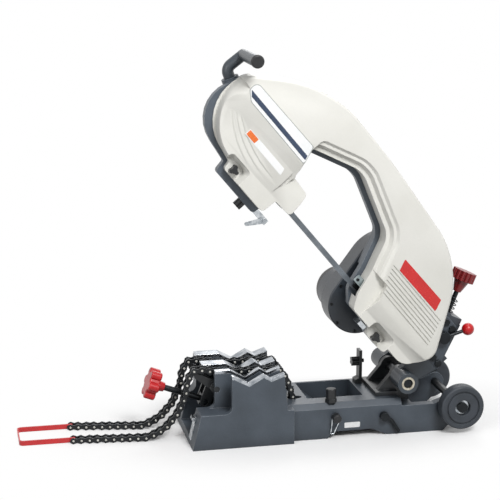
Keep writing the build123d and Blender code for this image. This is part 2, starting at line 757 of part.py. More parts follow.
# Places of the saw head that follow from the blade, the wheels and the arch
wheel_v = blade_v + band_wheel_radius
split_n = blade_n - split_drop
frame_n = split_n - frame_rim
plate_n = frame_n - frame_plate
cover_n = split_n + cover_depth
sole_v = blade_v - sole_drop
guard_u = arch_u - guard_reach
arch_v = wheel_v + band_wheel_radius - arch_clear - arch_radius
back_height = wheel_v + band_wheel_radius + back_clear
end_u = idler_u - end_shift
end_v = wheel_v - end_drop
rear_u = drive_u + rear_shift
idler = (idler_u, wheel_v)
slack_idler = (idler_u + slide_travel, wheel_v)
drive = (drive_u, wheel_v)
motor = (motor_u, motor_v)
heel = (rear_u + heel_reach, wheel_v + heel_rise)
arch_axis = Axis(head_plane.from_local_coords((arch_u, arch_v, 0)), head_plane.z_dir)


def polar(centre, radius, angle):
    """Point at an angle on a circle."""
    return (centre[0] + radius * cos(radians(angle)), centre[1] + radius * sin(radians(angle)))


def spoke(angle):
    """Plane through the arch axis: sketch x is the distance from the axis, sketch y is n."""
    out = head_plane.x_dir * cos(radians(angle)) + head_plane.y_dir * sin(radians(angle))
    return Plane(origin=arch_axis.position, x_dir=out, z_dir=out.cross(head_plane.z_dir))


def back_points(grow):
    """Corners of the head's rounded back from the idler end to the heel, moved out by an amount."""
    reach = band_wheel_radius + housing_gap + grow
    crest = back_height + min(grow, 0)
    return [
        (end_u - reach - 6, end_v - reach * 0.78),
        (end_u - reach + 4, end_v + reach * 0.565),
        (end_u + 75, crest),
        (rear_u - 80, crest),
        (rear_u + 41 + min(grow, 0), crest - 48.4),
    ]


back_rounding = [60, 110, 300, 250, 60]


def head_outline(plane, flange=0.0):
    """Bow-shaped outline round both band wheels, with the arch over the work."""
    arch_left = polar((arch_u, arch_v), arch_radius, 129.5)
    arch_right = polar((arch_u, arch_v), arch_radius, 19.8)
    arch_top = polar((arch_u, arch_v), arch_radius, 75)
    nose = polar(arch_right, 49, 19.8 - 90)
    box_v = sole_v - box_drop - flange
    with BuildSketch(plane) as face:
        with BuildLine():
            FilletPolyline(
                arch_left,
                (guard_u - 48, blade_v + 47.5),
                (guard_u - 7, blade_v + 44.5),
                (guard_u, blade_v - 7.5),
                (guard_u - 41, blade_v - 9.5),
                (guard_u - 43, box_v),
                (end_u + 31 - flange, box_v),
                (end_u + 28 - flange, sole_v + 5.5 - flange / 2),
                *back_points(flange),
                (rear_u + heel_reach * 2, sole_v),
                (rear_u + 36, sole_v),
                (rear_u + 36, sole_v - tab_drop),
                (rear_u + 5, sole_v - tab_drop),
                (rear_u - 5, sole_v),
                (rear_u - 62, sole_v),
                nose,
                arch_right,
                radius=[8, 8, 8, 4, 8, 7, 4] + back_rounding + [40, 3, 6, 6, 4, 10, 20],
            )
            ThreePointArc(arch_right, arch_top, arch_left)
        make_face()
        fillet(face.vertices().sort_by_distance(arch_left)[0], 8)
    return face.sketch


def wheel_room(plane):
    """Room for both band wheels and the upper run of the blade, clear of the arch."""
    room_arch = arch_radius + cover_wall
    room_left = polar((arch_u, arch_v), room_arch, 140)
    room_right = polar((arch_u, arch_v), room_arch, 24)
    floor_v = sole_v + cover_wall
    with BuildSketch(plane) as face:
        with BuildLine():
            FilletPolyline(
                room_left,
                (end_u + 62, blade_v + 20),
                (end_u + 30, blade_v - 8),
                *back_points(-cover_wall),
                (rear_u + heel_reach * 2 - 38, floor_v + 20),
                (rear_u + 60, floor_v),
                (rear_u - 50, floor_v),
                room_right,
                radius=[10, 10] + [rounding - cover_wall for rounding in back_rounding] + [20, 10, 8],
            )
            ThreePointArc(room_right, polar((arch_u, arch_v), room_arch, 75), room_left)
        make_face()
        with Locations(idler, slack_idler, drive):
            Circle(band_wheel_radius + wheel_lip + wheel_clearance)
    return face.sketch


# Saw head frame: plate with a rim, a curved spine behind it, and the bearing boss of the drive shaft
knob_places = [(end_u + 49, sole_v + 2), (rear_u + 20, sole_v - 2)]
handle_dir = Vector(-cos(radians(handle_rise)), sin(radians(handle_rise)), 0)
handle_base = Vector(end_u - handle_start, end_v + 8, handle_n)
socket_x = head_plane.x_dir * handle_dir.X + head_plane.y_dir * handle_dir.Y
socket_plane = Plane(origin=head_plane.from_local_coords(handle_base), x_dir=head_plane.z_dir, z_dir=socket_x)
tension_plane = Plane(
    origin=head_plane.from_local_coords((tension_u, tension_v, tension_n)),
    x_dir=head_plane.x_dir,
    z_dir=head_plane.y_dir,
)
spine_inner = arch_radius + 2
with BuildPart() as head_frame:
    extrude(head_outline(head(plate_n), flange=frame_flange), amount=frame_plate + frame_rim)
    extrude(wheel_room(head(frame_n)), amount=frame_rim, mode=Mode.SUBTRACT)
    spine = block(spoke(25), (spine_inner, plate_n - spine_depth), (spine_inner + spine_width, plate_n))
    revolve(spine, axis=arch_axis, revolution_arc=115)
    pocket_in = (spine_inner + spine_wall, plate_n - spine_depth - 1)
    pocket_out = (spine_inner + spine_width - spine_wall, plate_n - spine_wall)
    revolve(block(spoke(28), pocket_in, pocket_out), axis=arch_axis, revolution_arc=109, mode=Mode.SUBTRACT)
    extrude(disc(head(plate_n), bearing_boss, drive), amount=-plate_n - case_front)
    # socket of the carrying handle, and the block that holds the tension screw
    extrude(disc(socket_plane.offset(-20), handle_radius + 6), amount=44)
    extrude(block(head(plate_n), (tension_u - 10, tension_v + 9), (tension_u + 10, sole_v + 20)), amount=-18)
    # ways for the tension slide
    for side in (1, -1):
        low_v = wheel_v + side * (slide_half + side_play)
        way = block(head(frame_n), (idler_u - 30, low_v), (idler_u + 44, low_v + side * 6))
        extrude(way, amount=slide_thickness - 2)
    # bores
    shaft_bore = disc(head(frame_n), drive_shaft_radius + running_gap, drive)
    extrude(shaft_bore, amount=-frame_n - case_front, mode=Mode.SUBTRACT)
    extrude(disc(socket_plane, handle_radius), amount=25, mode=Mode.SUBTRACT)
    extrude(disc(tension_plane, tension_screw + running_gap), amount=36, mode=Mode.SUBTRACT)
    for place in knob_places:
        extrude(disc(head(split_n), knob_screw + running_gap, place), amount=plate_n - split_n, mode=Mode.SUBTRACT)
save(head_frame, "head_frame")

# Cover over both wheels, with its recessed panel, bevelled arch, grooves and two knob tabs
with BuildPart() as cover:
    extrude(head_outline(head(split_n)), amount=cover_depth)
    fillet(cover.faces().sort_by(Axis.Y)[0].edges(), cover_round)
    extrude(wheel_room(head(split_n)), amount=room_depth, mode=Mode.SUBTRACT)
    for place in knob_places:
        tab_low = (place[0] - 13, place[1] - 6)
        extrude(block(head(split_n), tab_low, (place[0] + 13, place[1] + 14)), amount=tab_depth)
        tab_cut = block(head(cover_n), (place[0] - 24, place[1] - 16), (place[0] + 20, place[1] + 13))
        extrude(tab_cut, amount=tab_depth - cover_depth, mode=Mode.SUBTRACT)
        extrude(disc(head(split_n), knob_screw + running_gap, place), amount=cover_depth, mode=Mode.SUBTRACT)
    # recessed panel over the idler wheel
    panel = [(end_u - 45, end_v + 18), (guard_u - 74, end_v + 18), (guard_u - 60, end_v - 28)]
    panel += [(guard_u - 70, blade_v + 2.5), (end_u + 10, blade_v + 2.5), (end_u - 40, end_v - 25)]
    extrude(poly(head(cover_n), panel, 9), amount=-panel_depth, mode=Mode.SUBTRACT)
    # bevel along the arch
    bevel = [(arch_radius - 2, cover_n + 1), (arch_radius + bevel_width, cover_n + 1)]
    bevel.append((arch_radius - 2, cover_n - bevel_drop))
    revolve(poly(spoke(18), bevel), axis=arch_axis, revolution_arc=111, mode=Mode.SUBTRACT)
    # grooves over the drive wheel
    for index in range(groove_count):
        groove_v = sole_v + 74 + index * groove_pitch
        groove_end = heel[0] + (heel[1] - groove_v) * 38 / 74 - 14
        groove_start = arch_u + sqrt((arch_radius + bevel_width + 8) ** 2 - (groove_v - arch_v) ** 2)
        groove = block(head(cover_n), (groove_start, groove_v - 1), (groove_end, groove_v + 1))
        extrude(groove, amount=-groove_depth, mode=Mode.SUBTRACT)
    # way for the blade, and rooms for its two guides
    blade_way = block(head(split_n), (idler_u + 15, blade_v - 12), (rear_u - 60, blade_v + 13))
    extrude(blade_way, amount=22, mode=Mode.SUBTRACT)
    for guide_u in (upper_guide_u, lower_guide_u):
        room_low = (guide_u - guide_half - 3, blade_v - 12)
        guide_room = block(head(split_n), room_low, (guide_u + guide_half + 3, blade_v + guide_height + 5))
        extrude(guide_room, amount=28, mode=Mode.SUBTRACT)
save(cover, "cover")

# Thumb knobs that hold the cover
for name, place in (("upper_cover_knob", knob_places[0]), ("lower_cover_knob", knob_places[1])):
    with BuildPart() as cover_knob:
        extrude(lobed(head(split_n + tab_depth + side_play), 10, 3, 4, place), amount=13)
        screw_length = split_n + tab_depth + side_play - plate_n - 2
        extrude(disc(head(split_n + tab_depth + side_play), knob_screw, place), amount=-screw_length)
    save(cover_knob, name)

# Pivot arm behind the frame, with a boss on each side of the stand
arm_n = ear_outer + ear_gap
with BuildPart() as pivot_arm:
    web = [(-100, 40), (-40, 32), (32, 40), (46, 62), (4, 158), (-36, 158), (-100, 130)]
    extrude(poly(head(plate_n), web), amount=-20)
    extrude(block(head(plate_n), (0, 62), (40, 95)), amount=-plate_n - arm_n - 16)
    near_rib = [(-20, 0), (20, 0), (34, 62), (-16, 62)]
    extrude(poly(head(arm_n), near_rib), amount=16)
    far_rib = [(-20, 0), (20, 0), (40, 62), (40, 95), (0, 95), (-16, 62)]
    extrude(poly(head(-arm_n), far_rib), amount=-16)
    for boss_n in (boss_outer, -arm_n):
        extrude(disc(head(boss_n), boss_radius), amount=arm_n - boss_outer)
        extrude(disc(head(boss_n), pivot_radius + running_gap + bush_wall), amount=arm_n - boss_outer, mode=Mode.SUBTRACT)
    # lug for the feed screw
    feed_dir = head_plane.x_dir * -sin(radians(feed_lean)) + head_plane.y_dir * cos(radians(feed_lean))
    feed_foot = head_plane.from_local_coords((feed_u, feed_v, feed_n))
    feed_plane = Plane(origin=feed_foot, x_dir=head_plane.z_dir, z_dir=feed_dir)
    lug = block(feed_plane, (-feed_n - 18, -18), (plate_n - feed_n, 18))
    extrude(lug, amount=-22)
    extrude(disc(feed_plane, feed_screw_radius + running_gap), amount=-22, mode=Mode.SUBTRACT)
    extrude(disc(head(plate_n), lock_stud + running_gap, lock_place), amount=-14, mode=Mode.SUBTRACT)
    for place in bracket_holes:
        extrude(disc(head(plate_n), bracket_bolt, place), amount=-12, mode=Mode.SUBTRACT)
save(pivot_arm, "pivot_arm")

with BuildPart() as pivot_bushes:
    for boss_n in (boss_outer, -arm_n):
        bush = ring(head(boss_n), pivot_radius + running_gap + bush_wall, pivot_radius + running_gap)
        extrude(bush, amount=arm_n - boss_outer)
save(pivot_bushes, "pivot_bushes")

# Bracket plate on the arm with its four bolts, and the lock lever
with BuildPart() as bracket_plate:
    extrude(poly(head(plate_n), [(-35, 151), (0, 150), (43, 62), (6, 62)], 5), amount=bracket_thickness)
    for place in bracket_holes:
        extrude(disc(head(plate_n), bracket_bolt, place), amount=bracket_thickness, mode=Mode.SUBTRACT)
    lock_bore = disc(head(plate_n), lock_stud + running_gap, lock_place)
    extrude(lock_bore, amount=bracket_thickness, mode=Mode.SUBTRACT)
save(bracket_plate, "bracket_plate")

with BuildPart() as bracket_bolts:
    for place in bracket_holes:
        extrude(disc(head(plate_n + bracket_thickness), bracket_bolt, place), amount=-bracket_thickness - 12)
        with BuildSketch(head(plate_n + bracket_thickness)):
            with Locations(place):
                RegularPolygon(bracket_bolt * 1.9, 6)
        extrude(amount=bracket_bolt)
save(bracket_bolts, "bracket_bolts")

lock_n = plate_n + bracket_thickness + side_play
ball_place = polar(lock_place, lock_reach, lock_angle)
rod_n = lock_n + 8
with BuildPart() as lock_lever:
    extrude(disc(head(lock_n), 12, lock_place), amount=14)
    extrude(disc(head(lock_n), lock_stud, lock_place), amount=-bracket_thickness - side_play - 12)
    rod_start = head_plane.from_local_coords((lock_place[0], lock_place[1], rod_n))
    rod_end = head_plane.from_local_coords((ball_place[0], ball_place[1], rod_n))
    rod_plane = Plane(origin=rod_start, z_dir=rod_end - rod_start)
    extrude(disc(rod_plane, lever_rod), amount=lock_reach - ball_radius + 4)
save(lock_lever, "lock_lever")

with BuildPart() as lever_ball:
    with Locations(rod_end):
        Sphere(ball_radius)
    extrude(disc(rod_plane, lever_rod), amount=lock_reach - ball_radius + 4, mode=Mode.SUBTRACT)
save(lever_ball, "lever_ball")

# Feed screw, its spring and its fluted knob
knob_foot = spring_length + 4
with BuildPart() as feed_screw:
    extrude(disc(feed_plane.offset(-20), feed_screw_radius), amount=20 + knob_foot + feed_cone + 8)
save(feed_screw, "feed_screw")

with BuildPart() as feed_knob:
    cone_low = atan2(feed_cone_radius - feed_cone_foot, feed_cone)
    cone = disc(feed_plane.offset(knob_foot + feed_cone), feed_cone_radius)
    extrude(cone, amount=-feed_cone, taper=degrees(cone_low))
    extrude(lobed(feed_plane.offset(knob_foot + feed_cone), feed_knob_radius, 14, 4), amount=20)
    extrude(disc(feed_plane, feed_screw_radius), amount=knob_foot + feed_cone + 8, mode=Mode.SUBTRACT)
save(feed_knob, "feed_knob")


def coil_point(turn):
    """Point of the spring's centre line after a count of turns."""
    angle = 2 * pi * turn
    rise = spring_wire + side_play / 2 + turn * spring_pitch
    return feed_plane.from_local_coords((spring_radius * cos(angle), spring_radius * sin(angle), rise))


def coil_tangent(turn):
    """Direction of the spring's centre line after a count of turns."""
    angle = 2 * pi * turn
    round_way = feed_plane.y_dir * cos(angle) - feed_plane.x_dir * sin(angle)
    return (round_way * (2 * pi * spring_radius) + feed_plane.z_dir * spring_pitch).normalized()


spring_turns = int((spring_length - 2 * spring_wire) / spring_pitch)
with BuildPart() as feed_spring:
    with BuildLine() as coil:
        for quarter in range(4 * spring_turns):
            start, end = coil_point(quarter / 4), coil_point((quarter + 1) / 4)
            leave, arrive = coil_tangent(quarter / 4), coil_tangent((quarter + 1) / 4)
            chord, both = end - start, leave + arrive
            bend = 4 - both.dot(both)
            arm = (sqrt(chord.dot(both) ** 2 + bend * chord.dot(chord)) - chord.dot(both)) / bend
            handle_a, handle_b = start + leave * arm, end - arrive * arm
            joint = (handle_a + handle_b) * 0.5
            TangentArc(start, joint, tangent=leave)
            TangentArc(joint, end, tangent=(handle_b - handle_a).normalized())
    with BuildSketch(Plane(origin=coil.wire() @ 0, z_dir=coil.wire() % 0)):
        Circle(spring_wire)
    sweep(path=coil.wire())
save(feed_spring, "feed_spring")
spots = [coil_point(step / 24) for step in range(24 * spring_turns + 1)]
gaps = [(spots[i] - spots[j]).length for i in range(len(spots)) for j in range(i + 12, len(spots))]
print("spring gap", round(min(gaps) - 2 * spring_wire, 2))

# Carrying handle: bent tube from the socket, then a grip across the head, with an end cap
handle_corner = handle_base + handle_dir * handle_run
handle_top = handle_corner + Vector(2, handle_lift, 0)
handle_tip = handle_top + Vector(0, 0, handle_grip)
with BuildPart() as handle:
    with BuildLine(head(handle_n)) as tube:
        FilletPolyline(
            (handle_base.X, handle_base.Y),
            (handle_corner.X, handle_corner.Y),
            (handle_top.X, handle_top.Y),
            radius=15,
        )
    with BuildSketch(socket_plane):
        Circle(handle_radius)
    sweep(path=tube.wire())
    extrude(disc(head(handle_n), handle_radius, (handle_top.X, handle_top.Y)), amount=handle_grip)
    with Locations(head_plane.from_local_coords(handle_top)):
        Sphere(handle_radius)
save(handle, "handle")

with BuildPart() as handle_cap:
    tip_plane = head_plane.offset(handle_tip.Z)
    extrude(disc(tip_plane, handle_radius + 1.5, (handle_tip.X, handle_tip.Y)), amount=6)
    fillet(handle_cap.edges().sort_by(Axis.Y)[0], 3)
save(handle_cap, "handle_cap")

# Lug that lands on the bumper, latch and tension knob under the head
with BuildPart() as stop_lug:
    lug_u = rear_u - 17
    extrude(block(head(plate_n), (lug_u - 9, sole_v - lug_drop), (lug_u + 9, sole_v)), amount=split_n - plate_n - 1)
    low_block = block(head(plate_n), (lug_u - 9, sole_v - lug_drop), (lug_u + 9, sole_v - 2))
    extrude(low_block, amount=blade_n + 9 - plate_n)
save(stop_lug, "stop_lug")

latch_centre = (guard_u - 7, sole_v - 16.5)
with BuildPart() as latch_bar:
    bar_low = (guard_u - 51, latch_centre[1] - 6)
    extrude(block(head(plate_n), bar_low, (latch_centre[0] + 8, latch_centre[1] + 6)), amount=-6)
    extrude(disc(head(plate_n), latch_pin, latch_centre), amount=7)
save(latch_bar, "latch_bar")

with BuildPart() as latch_hook:
    hook_n = plate_n + side_play
    latch_foot = (latch_centre[0] - 18, latch_centre[1] - 30)
    extrude(link(head(hook_n), latch_centre, 6, latch_foot, 3.5), amount=4)
    extrude(disc(head(hook_n), 6, latch_centre), amount=5)
    extrude(disc(head(hook_n), latch_pin + running_gap, latch_centre), amount=5, mode=Mode.SUBTRACT)
save(latch_hook, "latch_hook")

with BuildPart() as tension_knob:
    extrude(disc(tension_plane, tension_screw), amount=30)
    extrude(lobed(tension_plane.offset(-12), 9.5, 6, 3), amount=20.7)
save(tension_knob, "tension_knob")

# Tension slide with the idler axle, and the idler wheel
with BuildPart() as tension_slide:
    low = (idler_u - slide_half - 6, wheel_v - slide_half)
    extrude(block(head(frame_n), low, (idler_u + slide_half + 6, wheel_v + slide_half)), amount=slide_thickness)
    extrude(disc(head(frame_n), idler_axle, idler), amount=blade_n + band_wheel_width / 2 + 3 - frame_n)
save(tension_slide, "tension_slide")

for name, place, bore in (
    ("idler_wheel", idler, idler_axle + running_gap),
    ("drive_wheel", drive, drive_shaft_radius),
):
    with BuildPart() as band_wheel:
        back_n = blade_n - band_wheel_width / 2
        extrude(disc(head(back_n), band_wheel_radius, place), amount=band_wheel_width)
        extrude(disc(head(back_n), band_wheel_radius + wheel_lip, place), amount=1.5)
        dish = ring(head(back_n), band_wheel_radius - 9, 20, place)
        extrude(dish, amount=4, mode=Mode.SUBTRACT)
        extrude(ring(head(back_n + band_wheel_width), band_wheel_radius - 9, 20, place), amount=-4, mode=Mode.SUBTRACT)
        with BuildSketch(head(back_n)):
            with Locations(place):
                with PolarLocations((band_wheel_radius + 11) / 2, 5):
                    Circle(9)
        extrude(amount=band_wheel_width, mode=Mode.SUBTRACT)
        extrude(disc(head(back_n), bore, place), amount=band_wheel_width, mode=Mode.SUBTRACT)
    save(band_wheel, name)

# Drive shaft, gear and motor armature
gear_n = -case_front - 17
centre_gap = hypot(motor_u - drive_u, motor_v - wheel_v)
module = 2 * centre_gap / (gear_teeth + pinion_teeth)
mesh_angle = degrees(atan2(motor_v - wheel_v, motor_u - drive_u))


def gear_face(plane, teeth, place, phase):
    """Gear outline of straight-sided teeth, with the first tooth at the phase angle."""
    pitch_radius = module * teeth / 2
    points = []
    for tooth in range(teeth):
        for height, side in ((-1.2, -1), (0.8, -1), (0.8, 1), (-1.2, 1)):
            radius = pitch_radius + height * module
            half = pi * module / 4 - gear_backlash - height * module * tan(radians(20))
            angle = phase + 360 * tooth / teeth + side * degrees(half / radius)
            points.append(polar(place, radius, angle))
    return poly(plane, points)


with BuildPart() as drive_shaft:
    shaft_top = blade_n + band_wheel_width / 2 + 4
    extrude(disc(head(shaft_top), drive_shaft_radius, drive), amount=gear_n - gear_width - 8 - shaft_top)
save(drive_shaft, "drive_shaft")

with BuildPart() as drive_gear:
    extrude(gear_face(head(gear_n), gear_teeth, drive, mesh_angle), amount=-gear_width)
    extrude(disc(head(gear_n), drive_shaft_radius, drive), amount=-gear_width, mode=Mode.SUBTRACT)
save(drive_gear, "drive_gear")

case_back = -case_front - case_depth
barrel_n = case_back - flange_thickness
end_n = barrel_n - motor_length
with BuildPart() as armature:
    extrude(gear_face(head(gear_n + 1), pinion_teeth, motor, mesh_angle + 180 + 180 / pinion_teeth), amount=-gear_width - 2)
    shaft_low = end_n - 8
    extrude(disc(head(-case_front - 1), armature_shaft, motor), amount=shaft_low + case_front + 1)
    extrude(disc(head(barrel_n - 10), armature_radius, motor), amount=20 - motor_length)
save(armature, "armature")


def case_face(plane, inset):
    """Outline of the gear case round the drive gear and the motor."""
    lobe = module * (gear_teeth / 2 + 0.8) + 3 + case_wall
    return link(plane, motor, case_radius - inset, drive, lobe - inset)


# Gear case, motor housing that closes it, and the motor end cap
with BuildPart() as gear_case:
    extrude(case_face(head(-case_front), 0), amount=-case_depth)
    fillet(gear_case.faces().sort_by(Axis.Y)[0].edges(), 3)
    extrude(case_face(head(-case_front - case_wall), case_wall), amount=case_wall - case_depth, mode=Mode.SUBTRACT)
    extrude(disc(head(-case_front), drive_shaft_radius + 1, drive), amount=-case_wall, mode=Mode.SUBTRACT)
    extrude(disc(head(-case_front), armature_shaft + running_gap, motor), amount=-case_wall, mode=Mode.SUBTRACT)
save(gear_case, "gear_case")

with BuildPart() as motor_housing:
    extrude(case_face(head(case_back), 0), amount=-flange_thickness)
    extrude(disc(head(barrel_n), motor_radius, motor), amount=-motor_length)
    extrude(disc(head(barrel_n), motor_radius - case_wall, motor), amount=-motor_length, mode=Mode.SUBTRACT)
    extrude(disc(head(case_back), armature_shaft + running_gap, motor), amount=-flange_thickness, mode=Mode.SUBTRACT)
save(motor_housing, "motor_housing")

with BuildPart() as motor_end_cap:
    extrude(disc(head(end_n), motor_radius, motor), amount=-motor_cap)
    fillet(motor_end_cap.edges().sort_by(Axis.Y)[-1], 8)
    extrude(disc(head(end_n), armature_shaft + running_gap, motor), amount=-motor_cap / 2, mode=Mode.SUBTRACT)
save(motor_end_cap, "motor_end_cap")

with BuildPart() as cord_gland:
    extrude(disc(head(end_n - motor_cap), gland_radius, motor), amount=-18, taper=8)
save(cord_gland, "cord_gland")

# Guides beside the cut with their carbide pads
for name, guide_u in (("upper_guide", upper_guide_u), ("lower_guide", lower_guide_u)):
    with BuildPart() as guide:
        low = (guide_u - guide_half, blade_v + 8)
        extrude(block(head(split_n), low, (guide_u + guide_half, blade_v + guide_height)), amount=24)
    save(guide, name)

blade_edge = blade_v - blade_gap - blade_thickness / 2
with BuildPart() as guide_pads:
    for guide_u in (upper_guide_u, lower_guide_u):
        for pad_n in (blade_n + blade_thickness / 2 + pad_gap + 4, blade_n - blade_thickness / 2 - pad_gap):
            pad_low = (guide_u - guide_half, blade_edge - 2)
            extrude(block(head(pad_n), pad_low, (guide_u + guide_half, blade_v + 8)), amount=-4)
save(guide_pads, "guide_pads")

# Saw blade: a loop round both wheels, its lower run turned square to the work between the guides
wrap_in = band_wheel_radius + blade_gap
wrap_out = wrap_in + blade_thickness
half_blade = blade_width / 2


def blade_section(u, turn):
    """Cross-section of the blade at u, turned about its length."""
    middle = head_plane.from_local_coords((u, blade_edge, blade_n))
    with BuildSketch(Plane(origin=middle, x_dir=head_plane.z_dir, z_dir=head_plane.x_dir)) as face:
        Rectangle(blade_width, blade_thickness, rotation=turn)
    return face.sketch


twists = [
    (idler_u, idler_u + 14, 0, 0),
    (idler_u + 14, upper_guide_u - guide_half - 4, 0, 90),
    (upper_guide_u - guide_half - 4, lower_guide_u + guide_half + 4, 90, 90),
    (lower_guide_u + guide_half + 4, drive_u - 14, 90, 0),
    (drive_u - 14, drive_u, 0, 0),
]
with BuildPart() as blade:
    for place, first in ((idler, 90), (drive, -90)):
        with BuildSketch(head(blade_n - half_blade)):
            with BuildLine():
                CenterArc(place, wrap_out, first, 180)
                CenterArc(place, wrap_in, first, 180)
                Line(polar(place, wrap_in, first), polar(place, wrap_out, first))
                Line(polar(place, wrap_in, first + 180), polar(place, wrap_out, first + 180))
            make_face()
        extrude(amount=blade_width)
    top_run = block(head(blade_n - half_blade), (idler_u, wheel_v + wrap_in), (drive_u, wheel_v + wrap_out))
    extrude(top_run, amount=blade_width)
    for start_u, end_u, turn_a, turn_b in twists:
        steps = max(1, int(abs(turn_b - turn_a) / 15))
        sections = []
        for step in range(steps + 1):
            part_way = step / steps
            sections.append(blade_section(start_u + (end_u - start_u) * part_way, turn_a + (turn_b - turn_a) * part_way))
        loft(sections, ruled=True)
save(blade, "blade")
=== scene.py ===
"""Finishes, cast head frame, moulded cover and small detail for a pipe band saw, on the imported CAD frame."""

import math

import bmesh
import bpy
from bpy.props import FloatProperty, FloatVectorProperty, IntProperty, PointerProperty
from mathutils import Matrix, Vector


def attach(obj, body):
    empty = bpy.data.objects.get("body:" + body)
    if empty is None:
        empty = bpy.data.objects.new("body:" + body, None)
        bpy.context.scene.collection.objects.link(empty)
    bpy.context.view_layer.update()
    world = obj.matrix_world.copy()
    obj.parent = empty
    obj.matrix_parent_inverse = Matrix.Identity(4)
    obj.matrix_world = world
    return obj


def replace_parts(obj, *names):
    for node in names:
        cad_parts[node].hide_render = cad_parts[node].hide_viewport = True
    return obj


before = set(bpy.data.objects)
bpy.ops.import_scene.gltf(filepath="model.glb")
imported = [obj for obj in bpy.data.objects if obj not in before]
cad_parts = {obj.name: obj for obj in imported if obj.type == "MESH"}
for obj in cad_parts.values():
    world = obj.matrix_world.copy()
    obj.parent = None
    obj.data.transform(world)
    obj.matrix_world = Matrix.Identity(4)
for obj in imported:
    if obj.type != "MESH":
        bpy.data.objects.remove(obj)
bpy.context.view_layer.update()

bl_info = {
    "name": "Pipe band saw",
    "version": (1, 0, 0),
    "blender": (4, 5, 0),
    "location": "View3D > Sidebar > Band saw",
    "description": "Finishes and small detail for a pipe band saw with a chain vise",
    "category": "Object",
}

MM = 0.001
# Points nearer to each other than this, in metres, are one point.
SAME_PLACE = 1e-6


def linear(hex_colour):
    """An sRGB hex colour as linear red, green, blue and alpha."""
    shares = [int(hex_colour[start : start + 2], 16) / 255 for start in (1, 3, 5)]
    return (*[s / 12.92 if s <= 0.04045 else ((s + 0.055) / 1.055) ** 2.4 for s in shares], 1.0)


def colour(label, hex_colour):
    """A colour that the user can change."""
    return FloatVectorProperty(
        name=label, description=f"Colour of the {label.lower()}", subtype="COLOR", size=4,
        min=0.0, max=1.0, default=linear(hex_colour),
    )


def length(label, words, millimetres):
    """A length that the user can change."""
    return FloatProperty(
        name=label, description=words, default=millimetres * MM, min=0.0, unit="LENGTH", precision=4,
    )


class SawColours(bpy.types.PropertyGroup):
    """Colours of the saw's main finishes."""

    cover: colour("Cover", "#E9E8E2")
    cover_shade: colour("Cover shade", "#E1E0D9")
    casting: colour("Casting enamel", "#4B535C")
    casting_shade: colour("Casting enamel shade", "#3F464E")
    knob_red: colour("Red knob", "#CB0C15")
    feed_red: colour("Feed knob", "#7F1519")
    strip_red: colour("Chain handle", "#D6262A")
    film_white: colour("Label film", "#FDFDFD")
    film_navy: colour("Label stripe", "#3B4A63")
    film_orange: colour("Small label", "#F4803F")
    film_red: colour("Side stripe", "#D8302F")


class SawSizes(bpy.types.PropertyGroup):
    """Sizes of the small detail."""

    film: length("Film", "Thickness of the label film", 0.3)
    tooth_pitch: length("Tooth pitch", "Spacing of the blade teeth, drawn coarse so that they show", 3.2)
    tooth_depth: length("Tooth depth", "Depth of the blade teeth", 1.3)
    rivet_radius: length("Rivet radius", "Radius of the chain's pin ends", 2.4)
    rivet_rise: length("Rivet rise", "How far the pin ends stand out of the chain", 0.9)
    wire_radius: length("Spring wire", "Radius of the feed spring's wire", 1.1)
    coil_steps: IntProperty(name="Coil steps", description="Sections in each spring turn", default=28, min=8)


# The saw head lies in its own level frame: u along the blade, v away from the work, n to the near side.
HEAD_TILT = math.radians(50.0)
ALONG = Vector((math.cos(HEAD_TILT), 0.0, -math.sin(HEAD_TILT)))
AWAY = Vector((math.sin(HEAD_TILT), 0.0, math.cos(HEAD_TILT)))
NEAR = Vector((0.0, -1.0, 0.0))
PIVOT = Vector((0.322, 0.0, 0.108))


def basis(origin, x_way, y_way, z_way):
    """The matrix that carries a piece from its own axes to a place in the shared frame."""
    return Matrix.Translation(origin) @ Matrix((x_way, y_way, z_way)).transposed().to_4x4()


HEAD = basis(PIVOT, ALONG, AWAY, NEAR)
# The bed's near side, seen square on: x along the bed, y up, z to the near side.
BED_SIDE = basis(Vector(), Vector((1.0, 0.0, 0.0)), Vector((0.0, 0.0, 1.0)), NEAR)
# Turns a profile of v and n, drawn flat and raised along z, so that it runs along u.
ALONG_U = Matrix(((0, 0, 1, 0), (1, 0, 0, 0), (0, 1, 0, 0), (0, 0, 0, 1)))


def level_place(u, v, n=0.0):
    """The matrix that moves a mesh to a place in the head's level frame, given in millimetres."""
    return Matrix.Translation(Vector((u, v, n)) * MM)


def on_head(u, v, n):
    """A place on the head at rest, given in millimetres of its level frame."""
    return HEAD @ level_place(u, v, n)


def polar(centre, radius, angle):
    """Point at an angle in degrees on a circle."""
    way = math.radians(angle)
    return (centre[0] + radius * math.cos(way), centre[1] + radius * math.sin(way))


# Stretch of the wide and the fine noise that is spread over its whole effect.
PATCH_RANGE = (0.35, 0.65)
GRAIN_RANGE = (0.3, 0.7)
# Cosines between a face and its rounded edge where the pale edge colour, wear and painted highlight, starts
# and ends, and the most of it that the edge takes.
EDGE_WEAR_AND_HIGHLIGHT_RANGE = (0.98, 0.80)
MOST_EDGE_WEAR_AND_HIGHLIGHT = 0.75
# Open share of the surroundings where a nook takes the full painted shade, and where it takes none.
NOOK_SHADE_RANGE = (0.1, 0.85)
COAT_ROUGHNESS = 0.12
# Sockets of a Mix node: its two colours and its result.
FIRST, SECOND, MIXED = 6, 7, 2


def add(tree, kind, sockets=None, **settings):
    """Adds one shader node with its settings, and links or sets its sockets."""
    made = tree.nodes.new(kind)
    for name, value in settings.items():
        setattr(made, name, value)
    for socket, value in (sockets or {}).items():
        if isinstance(value, bpy.types.NodeSocket):
            tree.links.new(value, made.inputs[socket])
        else:
            made.inputs[socket].default_value = value
    return made


